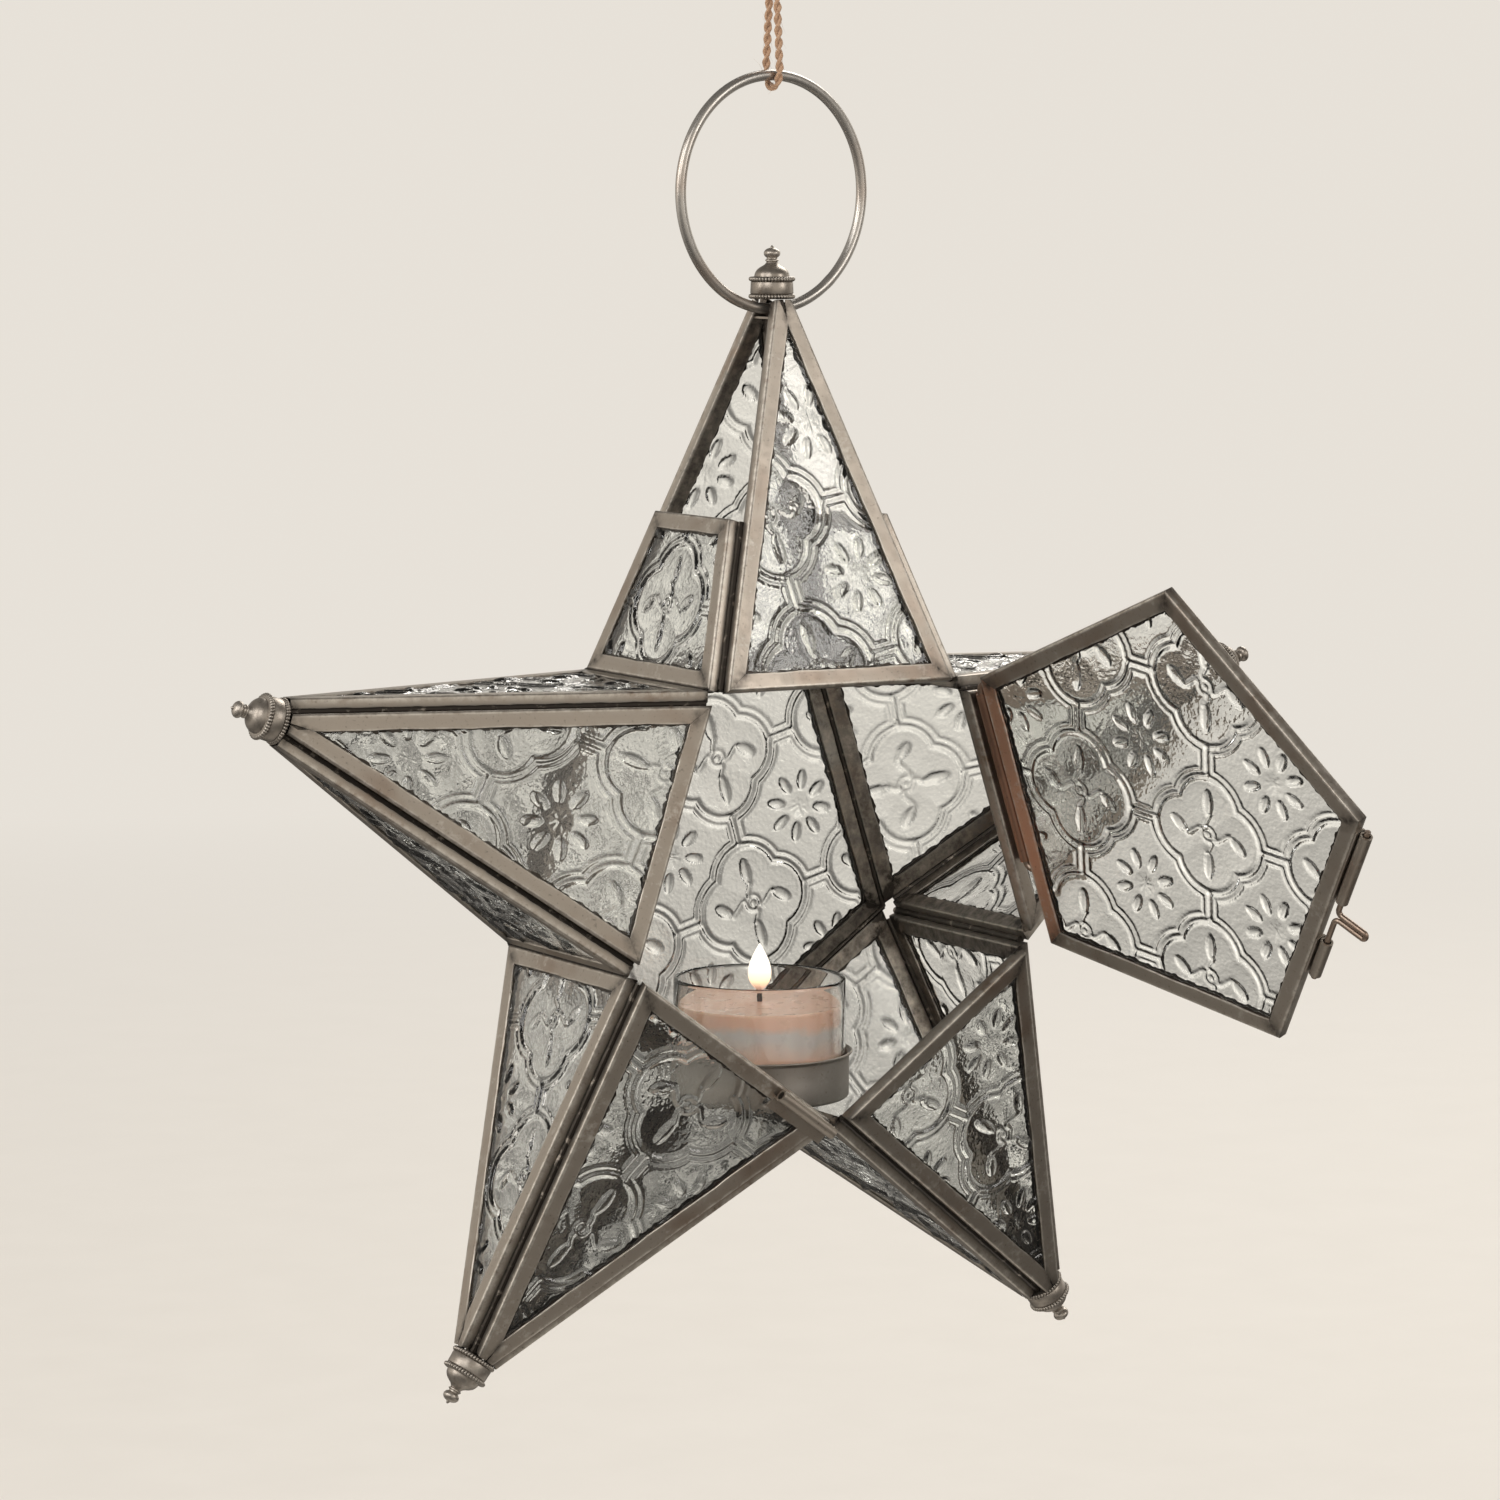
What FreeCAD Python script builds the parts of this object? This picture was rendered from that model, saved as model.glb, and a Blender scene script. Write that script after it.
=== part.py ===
import FreeCAD, Part
import math
import os
import Sketcher
from FreeCAD import Placement, Rotation, Vector

# Hanging star lantern. A pentagonal candle chamber carries five hollow arms of framed glass.
# Star coordinates: X to the right, Y to the rear, Z up, zero at the middle of the chamber.
# The part's own zero is the inside of the hanging ring's top, where a hook or finger bears.

ARM_COUNT = 5
ARM_STEP = 360 / ARM_COUNT
HALF_STEP = ARM_STEP / 2
TOP_ANGLE = 90
UP = Vector(0, 0, 1)
REARWARD = Vector(0, 1, 0)
RIGHTWARD = Vector(1, 0, 0)

doc = FreeCAD.newDocument("StarLantern")

# Driving sizes, in millimetres and degrees
SIZES = (
    ("pentagon_radius", 50.8, "chamber centre to an inner corner"),
    ("half_depth", 28.2, "chamber centre to the inner face of the rear pane"),
    ("arm_reach", 134.0, "centre to the point where an arm's four planes meet"),
    ("arm_stub", 6.8, "end of an arm that its finial takes the place of"),
    ("sheet", 0.45, "folded tin"),
    ("glass", 2.1, "pressed glass pane"),
    ("channel_face", 3.8, "depth of a channel on the face of its pane"),
    ("ridge_gap", 0.3, "each frame's long edge to the ridge line"),
    ("opening_inset", 2.0, "front frames' bases, set back from the door opening"),
    ("seat_gap", 0.1, "air left between frames that meet in a valley"),
    ("vent_level", 40.0, "slant height of the two panes beside the top arm's vent"),
    ("glass_tip", 3.4, "end of the glass below the cut end of its frame"),
    ("finial_radius", 5.2, "turned cap over the ends of an arm"),
    ("finial_rim", 1.0, "lower beaded ring"),
    ("finial_band", 2.3, "plain band between the two beaded rings"),
    ("finial_bell", 3.3, "hollow flare up to the neck"),
    ("finial_neck", 0.9, "length of the neck"),
    ("neck_radius", 1.35, "neck of the finial"),
    ("knob_radius", 1.95, "knob on the finial"),
    ("band_relief", 0.35, "band, set in from the beaded rings"),
    ("ring_radius", 25.7, "hanging ring, to the middle of its wire"),
    ("ring_wire", 1.2, "radius of the ring's wire"),
    ("ring_seat", 2.2, "ring wire's middle to the underside of the top finial"),
    ("ring_yaw", 8.0, "turn of the hanging ring about the upright"),
    ("keeper_gap", 0.5, "ring wire to the soldered strip below it"),
    ("keeper_width", 5.0, "soldered strip that closes the eye for the ring"),
    ("twine", 0.9, "radius of the twine"),
    ("twine_gap", 0.1, "twine to the ring's wire"),
    ("twine_rise", 23.0, "knot above the ring's wire"),
    ("knot_radius", 3.9, "knot in the twine"),
    ("knot_height", 6.0, "knot in the twine"),
    ("tail_length", 8.0, "cut ends of the twine above the knot"),
    ("door_overlap", 3.6, "door's corners beyond the chamber's inner corners"),
    ("door_gap", 0.3, "closed door to the front frames"),
    ("door_open", 103.5, "angle that the door stands open at rest"),
    ("hinge_wire", 0.8, "radius of the hinge's wire"),
    ("running_fit", 0.08, "wire to the bore that it turns in"),
    ("strip_gap", 0.15, "rolled tube to the foot of its own strip"),
    ("sleeve_length", 40.0, "rolled sleeve on the chamber"),
    ("sleeve_shift", 7.7, "sleeve's middle above the middle of its side"),
    ("end_gap", 0.4, "sleeve's ends to the bends of the hinge wire"),
    ("hinge_bend", 1.7, "bend radius of the hinge wire"),
    ("foot_length", 2.6, "soldered foot beside a tube on the chamber"),
    ("bolt_wire", 0.65, "radius of the latch bolt's wire"),
    ("bolt_slack", 0.3, "bolt to the bore of its tubes"),
    ("guide_length", 19.0, "long guide tube of the bolt"),
    ("guide_shift", 19.2, "long guide's middle before the middle of its side"),
    ("short_guide_shift", 6.7, "short guide's middle past the middle of its side"),
    ("catch_shift", 21.6, "catch tube's middle past the middle of its side"),
    ("handle_shift", 5.6, "bolt's handle before the middle of its side"),
    ("short_guide_length", 9.6, "short guide tube of the bolt"),
    ("catch_length", 16.5, "catch tube on the chamber"),
    ("handle_height", 8.0, "hairpin handle of the bolt"),
    ("handle_turn", 0.75, "turn radius at the hairpin's end"),
    ("bolt_bend", 1.25, "bend radius at the hairpin's foot"),
    ("bolt_tail", 1.2, "bolt standing out of the long guide"),
    ("bolt_nose", 1.0, "bolt standing out of the short guide"),
    ("candle_radius", 19.5, "clear cup of the tealight, outside"),
    ("candle_height", 26.5, "clear cup of the tealight"),
    ("cup_wall", 0.9, "wall of the clear cup"),
    ("cup_corner", 1.2, "inner corner of the clear cup's floor"),
    ("wax_drop", 6.0, "wax below the rim of the clear cup"),
    ("wax_gap", 0.05, "wax to the clear cup"),
    ("wick", 0.6, "radius of the wick"),
    ("wick_rise", 2.2, "straight wick above the wax"),
    ("wick_hook", 2.6, "bend radius of the burnt wick"),
    ("clip_radius", 7.0, "tin foot of the wick"),
    ("clip_neck", 1.3, "radius of the foot's neck"),
    ("clip_height", 4.0, "neck of the wick's foot"),
    ("candle_shift", 4.0, "candle's axis behind the middle of the chamber"),
    ("holder_gap", 0.35, "clear cup to the tin holder"),
    ("holder_height", 10.5, "tin candle holder"),
    ("holder_lip", 0.8, "lip turned out at the holder's rim"),
    ("solder_gap", 0.05, "holder's floor to the frames below it"),
)

sheet = doc.addObject("Spreadsheet::Sheet", "Sizes")
for row, (alias, value, meaning) in enumerate(SIZES, 1):
    sheet.set(f"A{row}", meaning)
    sheet.set(f"B{row}", str(value))
    sheet.setAlias(f"B{row}", alias)
doc.recompute()

# Sizes that follow from the driving ones, as formulas kept in the document
FORMULAS = (
    ("apothem", f"Sizes.pentagon_radius * cos({HALF_STEP})"),
    ("half_side", f"Sizes.pentagon_radius * sin({HALF_STEP})"),
    ("arm_length", "Sizes.arm_reach - Derived.apothem"),
    ("front_slant", "sqrt(Derived.arm_length ^ 2 + Sizes.half_depth ^ 2)"),
    ("side_slant", "sqrt(Derived.arm_length ^ 2 + Derived.half_side ^ 2)"),
    ("edge", "sqrt(Derived.front_slant ^ 2 + Derived.half_side ^ 2)"),
    ("thickness", "Sizes.glass + 2 * Sizes.sheet"),
    ("flank", "atan(Derived.half_side / Derived.arm_length)"),
    ("pitch", "atan(Sizes.half_depth / Derived.arm_length)"),
    ("arm_cut", "Sizes.arm_reach - Sizes.arm_stub"),
    ("arm_end", "Derived.arm_cut - Derived.apothem - Sizes.solder_gap"),
    ("front_cut", "(Derived.arm_end - Derived.thickness * sin(Derived.pitch)) / cos(Derived.pitch)"),
    ("side_cut", "(Derived.arm_end - Derived.thickness * sin(Derived.flank)) / cos(Derived.flank)"),
    ("valley_inset", f"(Derived.thickness + Sizes.seat_gap) / tan({HALF_STEP} + Derived.flank)"),
    ("door_radius", "Sizes.pentagon_radius + Sizes.door_overlap"),
    ("door_apothem", f"Derived.door_radius * cos({HALF_STEP})"),
    ("sleeve_bore", "Sizes.hinge_wire + Sizes.running_fit"),
    ("sleeve_radius", "Derived.sleeve_bore + Sizes.sheet"),
    ("guide_bore", "Sizes.bolt_wire + Sizes.bolt_slack"),
    ("guide_radius", "Derived.guide_bore + Sizes.sheet"),
    ("edge_seat", "Derived.guide_radius + Sizes.strip_gap + Sizes.sheet"),
    ("candle_inner", "Sizes.candle_radius - Sizes.cup_wall"),
    ("wax_radius", "Derived.candle_inner - Sizes.wax_gap"),
    ("wax_height", "Sizes.candle_height - Sizes.cup_wall - Sizes.wax_drop"),
    ("front_reach", "Sizes.half_depth - Sizes.opening_inset * sin(Derived.pitch)"
                    " + Derived.thickness * cos(Derived.pitch)"),
    ("door_mid", "Derived.front_reach + Sizes.door_gap + Derived.thickness / 2"),
    ("front_corner", "Derived.apothem + Sizes.opening_inset * cos(Derived.pitch)"
                     " + Derived.thickness * sin(Derived.pitch)"),
    ("face_seat", "(Derived.door_apothem + Derived.edge_seat - Derived.front_corner) * sin(Derived.pitch)"
                  " + (Derived.door_mid - Derived.front_reach) * cos(Derived.pitch)"),
    ("holder_inner", "Sizes.candle_radius + Sizes.holder_gap"),
    ("holder_outer", "Derived.holder_inner + Sizes.sheet"),
)

derived = doc.addObject("App::VarSet", "Derived")
for name, formula in FORMULAS:
    derived.addProperty("App::PropertyFloat", name, "Derived")
    derived.setExpression(name, formula)
doc.recompute()


def size(alias):
    """Value of one driving size."""
    return sheet.get(alias)


def evaluate(formula):
    """Number that a formula of the sizes gives now."""
    return float(derived.evalExpression(str(formula)))


# Sketches and features shared by the pieces

# Sketcher's indices for the sketch's origin and for the axis that a distance is measured from
ORIGIN_POINT = (-1, 1)
AXIS_INDEX = {"DistanceX": -2, "DistanceY": -1}


def origin_feature(body, role):
    """One of a body's own planes or axes."""
    return next(found for found in body.Origin.OriginFeatures if found.Role == role)


def pin_point(sketch, line, point, formulas):
    """Hold one point of a sketch at two formulas, measured from the sketch's origin."""
    for (kind, axis), formula in zip(AXIS_INDEX.items(), formulas):
        if formula == 0:
            sketch.addConstraint(Sketcher.Constraint("PointOnObject", line, point, axis))
        else:
            held = Sketcher.Constraint(kind, *ORIGIN_POINT, line, point, evaluate(formula))
            index = sketch.addConstraint(held)
            sketch.setExpression(f"Constraints[{index}]", formula)


def arc_between(start, end, radius):
    """Arc up to a half circle between two points, bulging to the right of the way for a positive radius."""
    chord = end - start
    right = Vector(chord.y, -chord.x, 0).normalize()
    reach = abs(radius)
    rise = reach - math.sqrt(max(reach ** 2 - (chord.Length / 2) ** 2, 0))
    middle = (start + end) / 2 + right * math.copysign(rise, radius)
    if radius > 0:
        return Part.Arc(start, middle, end)
    return Part.Arc(end, middle, start)


def new_sketch(body, name, role):
    """Empty sketch on one of a body's own planes."""
    sketch = body.newObject("Sketcher::SketchObject", name)
    sketch.AttachmentSupport = (origin_feature(body, role), [""])
    sketch.MapMode = "FlatFace"
    return sketch


def outline(body, name, role, corners, closed=True):
    """Sketch through corners of (x formula, y formula, radius formula of the arc to the next or None)."""
    sketch = new_sketch(body, name, role)
    points = [Vector(evaluate(x), evaluate(y), 0) for x, y, _ in corners]
    count = len(corners) if closed else len(corners) - 1
    starts = []
    ends = []
    for index in range(count):
        start = points[index]
        end = points[(index + 1) % len(points)]
        radius = corners[index][2]
        if radius is None:
            sketch.addGeometry(Part.LineSegment(start, end), False)
            starts.append(1)
            ends.append(2)
        else:
            bulge = evaluate(radius)
            sketch.addGeometry(arc_between(start, end, bulge), False)
            starts.append(1 if bulge > 0 else 2)
            ends.append(2 if bulge > 0 else 1)
    for index in range(count):
        x, y, radius = corners[index]
        pin_point(sketch, index, starts[index], (x, y))
        if closed or index < count - 1:
            after = (index + 1) % count
            sketch.addConstraint(Sketcher.Constraint("Coincident", index, ends[index], after, starts[after]))
        else:
            pin_point(sketch, index, ends[index], corners[-1][:2])
        if radius is not None:
            held = sketch.addConstraint(Sketcher.Constraint("Radius", index, abs(evaluate(radius))))
            sketch.setExpression(f"Constraints[{held}]", f"abs({radius})")
    return sketch


def circle(body, name, role, radius):
    """Sketch of one circle about the sketch's origin."""
    sketch = new_sketch(body, name, role)
    sketch.addGeometry(Part.Circle(Vector(0, 0, 0), UP, evaluate(radius)), False)
    sketch.addConstraint(Sketcher.Constraint("Coincident", 0, 3, *ORIGIN_POINT))
    held = sketch.addConstraint(Sketcher.Constraint("Radius", 0, evaluate(radius)))
    sketch.setExpression(f"Constraints[{held}]", radius)
    return sketch


def feature(body, kind, name, sketch, **lengths):
    """Pad, Pocket or Revolution on a sketch, its lengths bound to formulas."""
    made = body.newObject(f"PartDesign::{kind}", name)
    made.Profile = sketch
    sketch.Visibility = False
    for key, formula in lengths.items():
        made.setExpression(key, formula)
    return made


def centred(body, kind, name, sketch, length):
    """Pad or Pocket that runs the same way to both sides of its sketch."""
    made = feature(body, kind, name, sketch, Length=length)
    made.SideType = "Symmetric"
    return made


def revolve(body, name, sketch):
    """Full turn of a profile drawn on the XZ plane about the body's Z axis."""
    made = body.newObject("PartDesign::Revolution", name)
    made.Profile = sketch
    made.ReferenceAxis = (origin_feature(body, "Z_Axis"), [""])
    made.Angle = 360
    sketch.Visibility = False
    return made


def turned(label, corners):
    """Solid of revolution from its half profile."""
    body = doc.addObject("PartDesign::Body", label)
    revolve(body, label + "_turn", outline(body, label + "_profile", "XZ_Plane", corners))
    return body


def bent_wire(label, radius, role, offset, corners):
    """Round wire along a path on the XZ plane, its end circle on another plane moved by an offset."""
    body = doc.addObject("PartDesign::Body", label)
    path = outline(body, label + "_path", "XZ_Plane", corners, closed=False)
    end = circle(body, label + "_end", role, radius)
    for axis, formula in zip("xyz", offset):
        if formula:
            end.setExpression(f"AttachmentOffset.Base.{axis}", formula)
    wire = body.newObject("PartDesign::AdditivePipe", label + "_wire")
    wire.Profile = end
    wire.Spine = path
    path.Visibility = False
    end.Visibility = False
    return body


def rolled_tube(label, bore, radius, length, strip):
    """Tube rolled from a strip, the strip's own end bent into a foot that is soldered down."""
    body = doc.addObject("PartDesign::Body", label)
    centred(body, "Pad", label + "_roll", circle(body, label + "_round", "XY_Plane", radius), length)
    foot = outline(body, label + "_strip", "XY_Plane", [(x, y, None) for x, y in strip])
    centred(body, "Pad", label + "_foot", foot, length)
    bored = circle(body, label + "_bore", "XY_Plane", bore)
    centred(body, "Pocket", label + "_hollow", bored, f"2 * ({length})")
    return body


# Framed glass: a folded channel round each pane, open towards its middle


def half_width(half_base, slant, inset, level):
    """Half width of an arm's face at one slant level, with its long edges moved in by an inset."""
    return f"({half_base}) * (1 - ({level}) / ({slant})) - ({inset}) * Derived.edge / ({slant})"


def face_outline(body, name, face, inset, low, high):
    """Outline of an arm's face, its edges moved in, from one slant level to another or to its apex."""
    half_base, slant, _ = face
    low_half = half_width(half_base, slant, inset, low)
    if high is None:
        apex = f"{slant} - ({inset}) * Derived.edge / ({half_base})"
        corners = [(f"-({low_half})", low, None), (low_half, low, None), (0, apex, None)]
    else:
        high_half = half_width(half_base, slant, inset, high)
        corners = [(f"-({low_half})", low, None), (low_half, low, None)]
        corners += [(high_half, high, None), (f"-({high_half})", high, None)]
    return outline(body, name, "XY_Plane", corners)


def pentagon_outline(body, name, radius):
    """Five corners, one pointing down."""
    corners = []
    for index in range(ARM_COUNT):
        angle = TOP_ANGLE + HALF_STEP + index * ARM_STEP
        x = 0 if index == 2 else f"({radius}) * cos({angle})"
        corners.append((x, f"({radius}) * sin({angle})", None))
    return outline(body, name, "XY_Plane", corners)


def channel(label, outer, window, slot):
    """Frame of folded channel: the outer block, its open window and the slot that the glass fills."""
    body = doc.addObject("PartDesign::Body", label)
    centred(body, "Pad", label + "_block", outer(body), "Derived.thickness")
    centred(body, "Pocket", label + "_window", window(body), "2 * Derived.thickness")
    centred(body, "Pocket", label + "_slot", slot(body), "Sizes.glass")
    return body


def glass_pane(label, slot):
    """Sheet of glass that fills a frame's slot."""
    body = doc.addObject("PartDesign::Body", label)
    centred(body, "Pad", label + "_sheet", slot(body), "Sizes.glass")
    return body


def arm_pane(label, face, low, high):
    """Frame and glass of one face of an arm."""
    end_cut = face[-1]
    cut = end_cut if high is None else high
    window_top = None if high is None else f"{high} - Sizes.channel_face"
    slot_top = f"{cut} - Sizes.glass_tip" if high is None else f"{high} - Sizes.sheet"
    window_low = f"{low} + Sizes.channel_face"
    slot_low = f"{low} + Sizes.sheet"

    def outer(body):
        return face_outline(body, body.Name + "_outer", face, "Sizes.ridge_gap", low, cut)

    def window(body):
        inset = "Sizes.ridge_gap + Sizes.channel_face"
        return face_outline(body, body.Name + "_opening", face, inset, window_low, window_top)

    def slot(body):
        inset = "Sizes.ridge_gap + Sizes.sheet"
        return face_outline(body, body.Name + "_edge", face, inset, slot_low, slot_top)

    return channel(label + "_frame", outer, window, slot), glass_pane(label + "_pane", slot)


def pentagon_pane(name, radius):
    """Frame and glass of a five-sided pane."""
    corner = f"cos({HALF_STEP})"

    def outer(body):
        return pentagon_outline(body, body.Name + "_outer", radius)

    def window(body):
        return pentagon_outline(body, body.Name + "_opening", f"{radius} - Sizes.channel_face / {corner}")

    def slot(body):
        return pentagon_outline(body, body.Name + "_edge", f"{radius} - Sizes.sheet / {corner}")

    return channel(name + "_frame", outer, window, slot), glass_pane(name + "_glass", slot)


# Places in star coordinates

half_depth = size("half_depth")
thickness = derived.thickness
apothem = derived.apothem
ring_pivot = derived.arm_cut - size("ring_seat")
hang_height = ring_pivot + 2 * size("ring_radius") - size("ring_wire")
star_centre = Placement(UP * -hang_height, Rotation())


def radial(angle):
    """Unit vector in the plane of the star at an angle above the right."""
    return Vector(math.cos(math.radians(angle)), 0, math.sin(math.radians(angle)))


def facing(origin, x_axis, y_axis):
    """Placement whose local X and Y lie along two given directions."""
    return Placement(origin, Rotation(x_axis, y_axis, x_axis.cross(y_axis), "ZXY"))


def put(piece, local):
    """Set a piece at a placement given in star coordinates."""
    piece.Placement = star_centre.multiply(local)


def face_placement(angle, base, across):
    """Mid-plane of an arm's face that rises from the middle of its base to the arm's apex."""
    slant = (radial(angle) * size("arm_reach") - base).normalize()
    place = facing(base, across, slant)
    place.move(across.cross(slant) * (thickness / 2))
    return place


def front_face(angle, rear_share):
    """Front face of an arm for a share of minus one, rear face for one."""
    across = Vector(-math.sin(math.radians(angle)), 0, math.cos(math.radians(angle))) * rear_share
    return face_placement(angle, radial(angle) * apothem + REARWARD * (half_depth * rear_share), across)


def side_face(angle, side_share):
    """Side face of an arm, the clockwise one for a share of one."""
    sideways = Vector(math.sin(math.radians(angle)), 0, -math.cos(math.radians(angle)))
    base = radial(angle) * apothem + sideways * (derived.half_side * side_share)
    return face_placement(angle, base, REARWARD * side_share)


# Faces of an arm: half base, slant height up to the apex, slant height where the frame is cut
FRONT_FACE = ("Derived.half_side", "Derived.front_slant", "Derived.front_cut")
SIDE_FACE = ("Sizes.half_depth", "Derived.side_slant", "Derived.side_cut")

# Arms, anticlockwise from the top one, each with the names of its anticlockwise and clockwise sides
ARMS = (
    ("top", "left", "right"),
    ("upper_left", "lower", "upper"),
    ("lower_left", "inner", "outer"),
    ("lower_right", "outer", "inner"),
    ("upper_right", "upper", "lower"),
)
# Its side panes stop low and leave vents above them
VENTED_ARM = "top"

nodes = []


def keep(piece, label):
    """Name a finished piece and add it to the list of nodes."""
    piece.Label = label
    nodes.append(piece)


def arm_angle(index):
    """Direction of an arm above the right."""
    return TOP_ANGLE + index * ARM_STEP


for index, (arm, left_side, right_side) in enumerate(ARMS):
    angle = arm_angle(index)
    side_top = "Sizes.vent_level" if arm == VENTED_ARM else None
    faces = (
        ("front", FRONT_FACE, "Sizes.opening_inset", None, front_face(angle, -1)),
        ("rear", FRONT_FACE, "Sizes.ridge_gap", None, front_face(angle, 1)),
        (left_side, SIDE_FACE, "Derived.valley_inset", side_top, side_face(angle, -1)),
        (right_side, SIDE_FACE, "Derived.valley_inset", side_top, side_face(angle, 1)),
    )
    panes = []
    for side, face, low, high, place in faces:
        frame, pane = arm_pane(f"{arm}_{side}", face, low, high)
        put(frame, place)
        put(pane, place)
        keep(frame, f"{arm}_{side}_frame")
        panes.append(pane)
    group = doc.addObject("Part::Compound", f"{arm}_panes")
    group.Links = panes
    keep(group, f"{arm}_glass")

rear_frame, rear_glass = pentagon_pane("rear", "Sizes.pentagon_radius")
rear_place = facing(REARWARD * (half_depth + thickness / 2), RIGHTWARD * -1, UP)
for piece, label in ((rear_frame, "rear_frame"), (rear_glass, "rear_glass")):
    put(piece, rear_place)
    keep(piece, label)

# Turned finials over the ends of the arms

RIM = "Sizes.finial_rim"
BAND = f"({RIM} + Sizes.finial_band)"
SHOULDER = f"({BAND} + Sizes.finial_rim)"
NECK = f"({SHOULDER} + Sizes.finial_bell)"
KNOB = f"({NECK} + Sizes.finial_neck)"
CROWN = f"({KNOB} + sqrt(Sizes.knob_radius ^ 2 - Sizes.neck_radius ^ 2) + Sizes.knob_radius)"
BAND_RADIUS = "(Sizes.finial_radius - Sizes.band_relief)"
BEAD = "(Sizes.finial_rim ^ 2 / 4 + Sizes.band_relief ^ 2) / (2 * Sizes.band_relief)"
# Radius of the hollow flare as a share of its chord
FLARE_SHARE = 1.1


def finial(label):
    """Cap with two beaded rings, a hollow bell, a neck and a knob."""
    flare = f"-{FLARE_SHARE} * sqrt(({BAND_RADIUS} - Sizes.neck_radius) ^ 2 + Sizes.finial_bell ^ 2)"
    corners = [
        (0, 0, None),
        (BAND_RADIUS, 0, BEAD),
        (BAND_RADIUS, RIM, None),
        (BAND_RADIUS, BAND, BEAD),
        (BAND_RADIUS, SHOULDER, flare),
        ("Sizes.neck_radius", NECK, None),
        ("Sizes.neck_radius", KNOB, "Sizes.knob_radius"),
        (0, CROWN, None),
    ]
    return turned(label, corners)


for index, (arm, _, _) in enumerate(ARMS):
    cap = finial(f"{arm}_cap")
    direction = radial(arm_angle(index))
    put(cap, facing(direction * derived.arm_cut, REARWARD, direction.cross(REARWARD)))
    keep(cap, f"{arm}_finial")

# Hanging ring through the eye under the top finial, and the soldered strip that closes the eye

yaw = math.radians(size("ring_yaw"))
across_ring = Vector(-math.sin(yaw), math.cos(yaw), 0)
along_ring = Vector(math.cos(yaw), math.sin(yaw), 0)

ring = doc.addObject("Part::Torus", "ring")
ring.setExpression("Radius1", "Sizes.ring_radius")
ring.setExpression("Radius2", "Sizes.ring_wire")
put(ring, facing(UP * (ring_pivot + size("ring_radius")), along_ring, UP))
keep(ring, "hanging_ring")

KEEPER_TOP = "(Derived.arm_cut - Sizes.ring_seat - Sizes.ring_wire - Sizes.keeper_gap)"
KEEPER_LOW = f"({KEEPER_TOP} - Sizes.sheet)"


def eye_half(level):
    """Half the room between the front and rear frames at one level of the top arm."""
    return f"(Sizes.arm_reach - {level}) * Sizes.half_depth / Derived.arm_length"


keeper = doc.addObject("PartDesign::Body", "keeper")
keeper_corners = [
    (f"-{eye_half(KEEPER_LOW)}", KEEPER_LOW, None),
    (eye_half(KEEPER_LOW), KEEPER_LOW, None),
    (eye_half(KEEPER_TOP), KEEPER_TOP, None),
    (f"-{eye_half(KEEPER_TOP)}", KEEPER_TOP, None),
]
keeper_profile = outline(keeper, "keeper_profile", "YZ_Plane", keeper_corners)
centred(keeper, "Pad", "keeper_strip", keeper_profile, "Sizes.keeper_width")
put(keeper, Placement())
keep(keeper, "ring_keeper")

# Twine: one strand down, round the ring's top wire and up again, its ends in a knot

turn = size("ring_wire") + size("twine") + size("twine_gap")
ring_top = UP * (ring_pivot + 2 * size("ring_radius"))


def beside_ring(sideways, upward):
    """Point in the plane across the ring's top wire."""
    return ring_top + across_ring * sideways + UP * upward


twine_path = Part.Wire([
    Part.LineSegment(beside_ring(turn, size("twine_rise")), beside_ring(turn, 0)).toShape(),
    Part.Arc(beside_ring(turn, 0), beside_ring(0, -turn), beside_ring(-turn, 0)).toShape(),
    Part.LineSegment(beside_ring(-turn, 0), beside_ring(-turn, size("twine_rise"))).toShape(),
])
twine_end = Part.Wire(Part.Circle(beside_ring(turn, size("twine_rise")), UP, size("twine")).toShape())
twine = doc.addObject("Part::Feature", "twine")
twine.Shape = twine_path.makePipeShell([twine_end], True, False)
put(twine, Placement())
keep(twine, "twine_loop")
twine_true = math.pi * size("twine") ** 2 * twine_path.Length
print("twine: turn radius", round(turn, 3), "volume share", round(twine.Shape.Volume / twine_true, 4))

KNOT_SIDE = "(Sizes.knot_radius - Sizes.twine)"
KNOT_ROUND = "(Sizes.knot_height ^ 2 / 4 + Sizes.twine ^ 2) / (2 * Sizes.twine)"
knot_profile = [
    (0, 0, None),
    (KNOT_SIDE, 0, KNOT_ROUND),
    (KNOT_SIDE, "Sizes.knot_height", None),
    (0, "Sizes.knot_height", None),
]
knot_body = turned("knot_body", knot_profile)
put(knot_body, facing(beside_ring(0, size("twine_rise")), along_ring, across_ring))
tails = []
for side_share in (-1, 1):
    tail = doc.addObject("Part::Cylinder", "tail")
    tail.setExpression("Radius", "Sizes.twine")
    tail.setExpression("Height", "Sizes.tail_length")
    tail_foot = beside_ring(side_share * turn / 2, size("twine_rise") + size("knot_height"))
    put(tail, facing(tail_foot, along_ring, across_ring))
    tails.append(tail)
knot = doc.addObject("Part::MultiFuse", "knot")
knot.Shapes = [knot_body] + tails
keep(knot, "twine_knot")

# Door: its frame, glass, hinge wire, bolt guides and bolt, all standing open about the hinge

HINGE_ANGLE = TOP_ANGLE - ARM_STEP
LATCH_ANGLE = TOP_ANGLE + 2 * ARM_STEP
door_mid = derived.door_mid


def along_side(angle):
    """Direction along a side of the pentagon, anticlockwise."""
    return Vector(-math.sin(math.radians(angle)), 0, math.cos(math.radians(angle)))


def edge_point(angle, shift):
    """Point on the line of the tubes beside the door's edge."""
    reach = derived.door_apothem + derived.edge_seat
    return radial(angle) * reach - REARWARD * door_mid + along_side(angle) * shift


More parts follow.
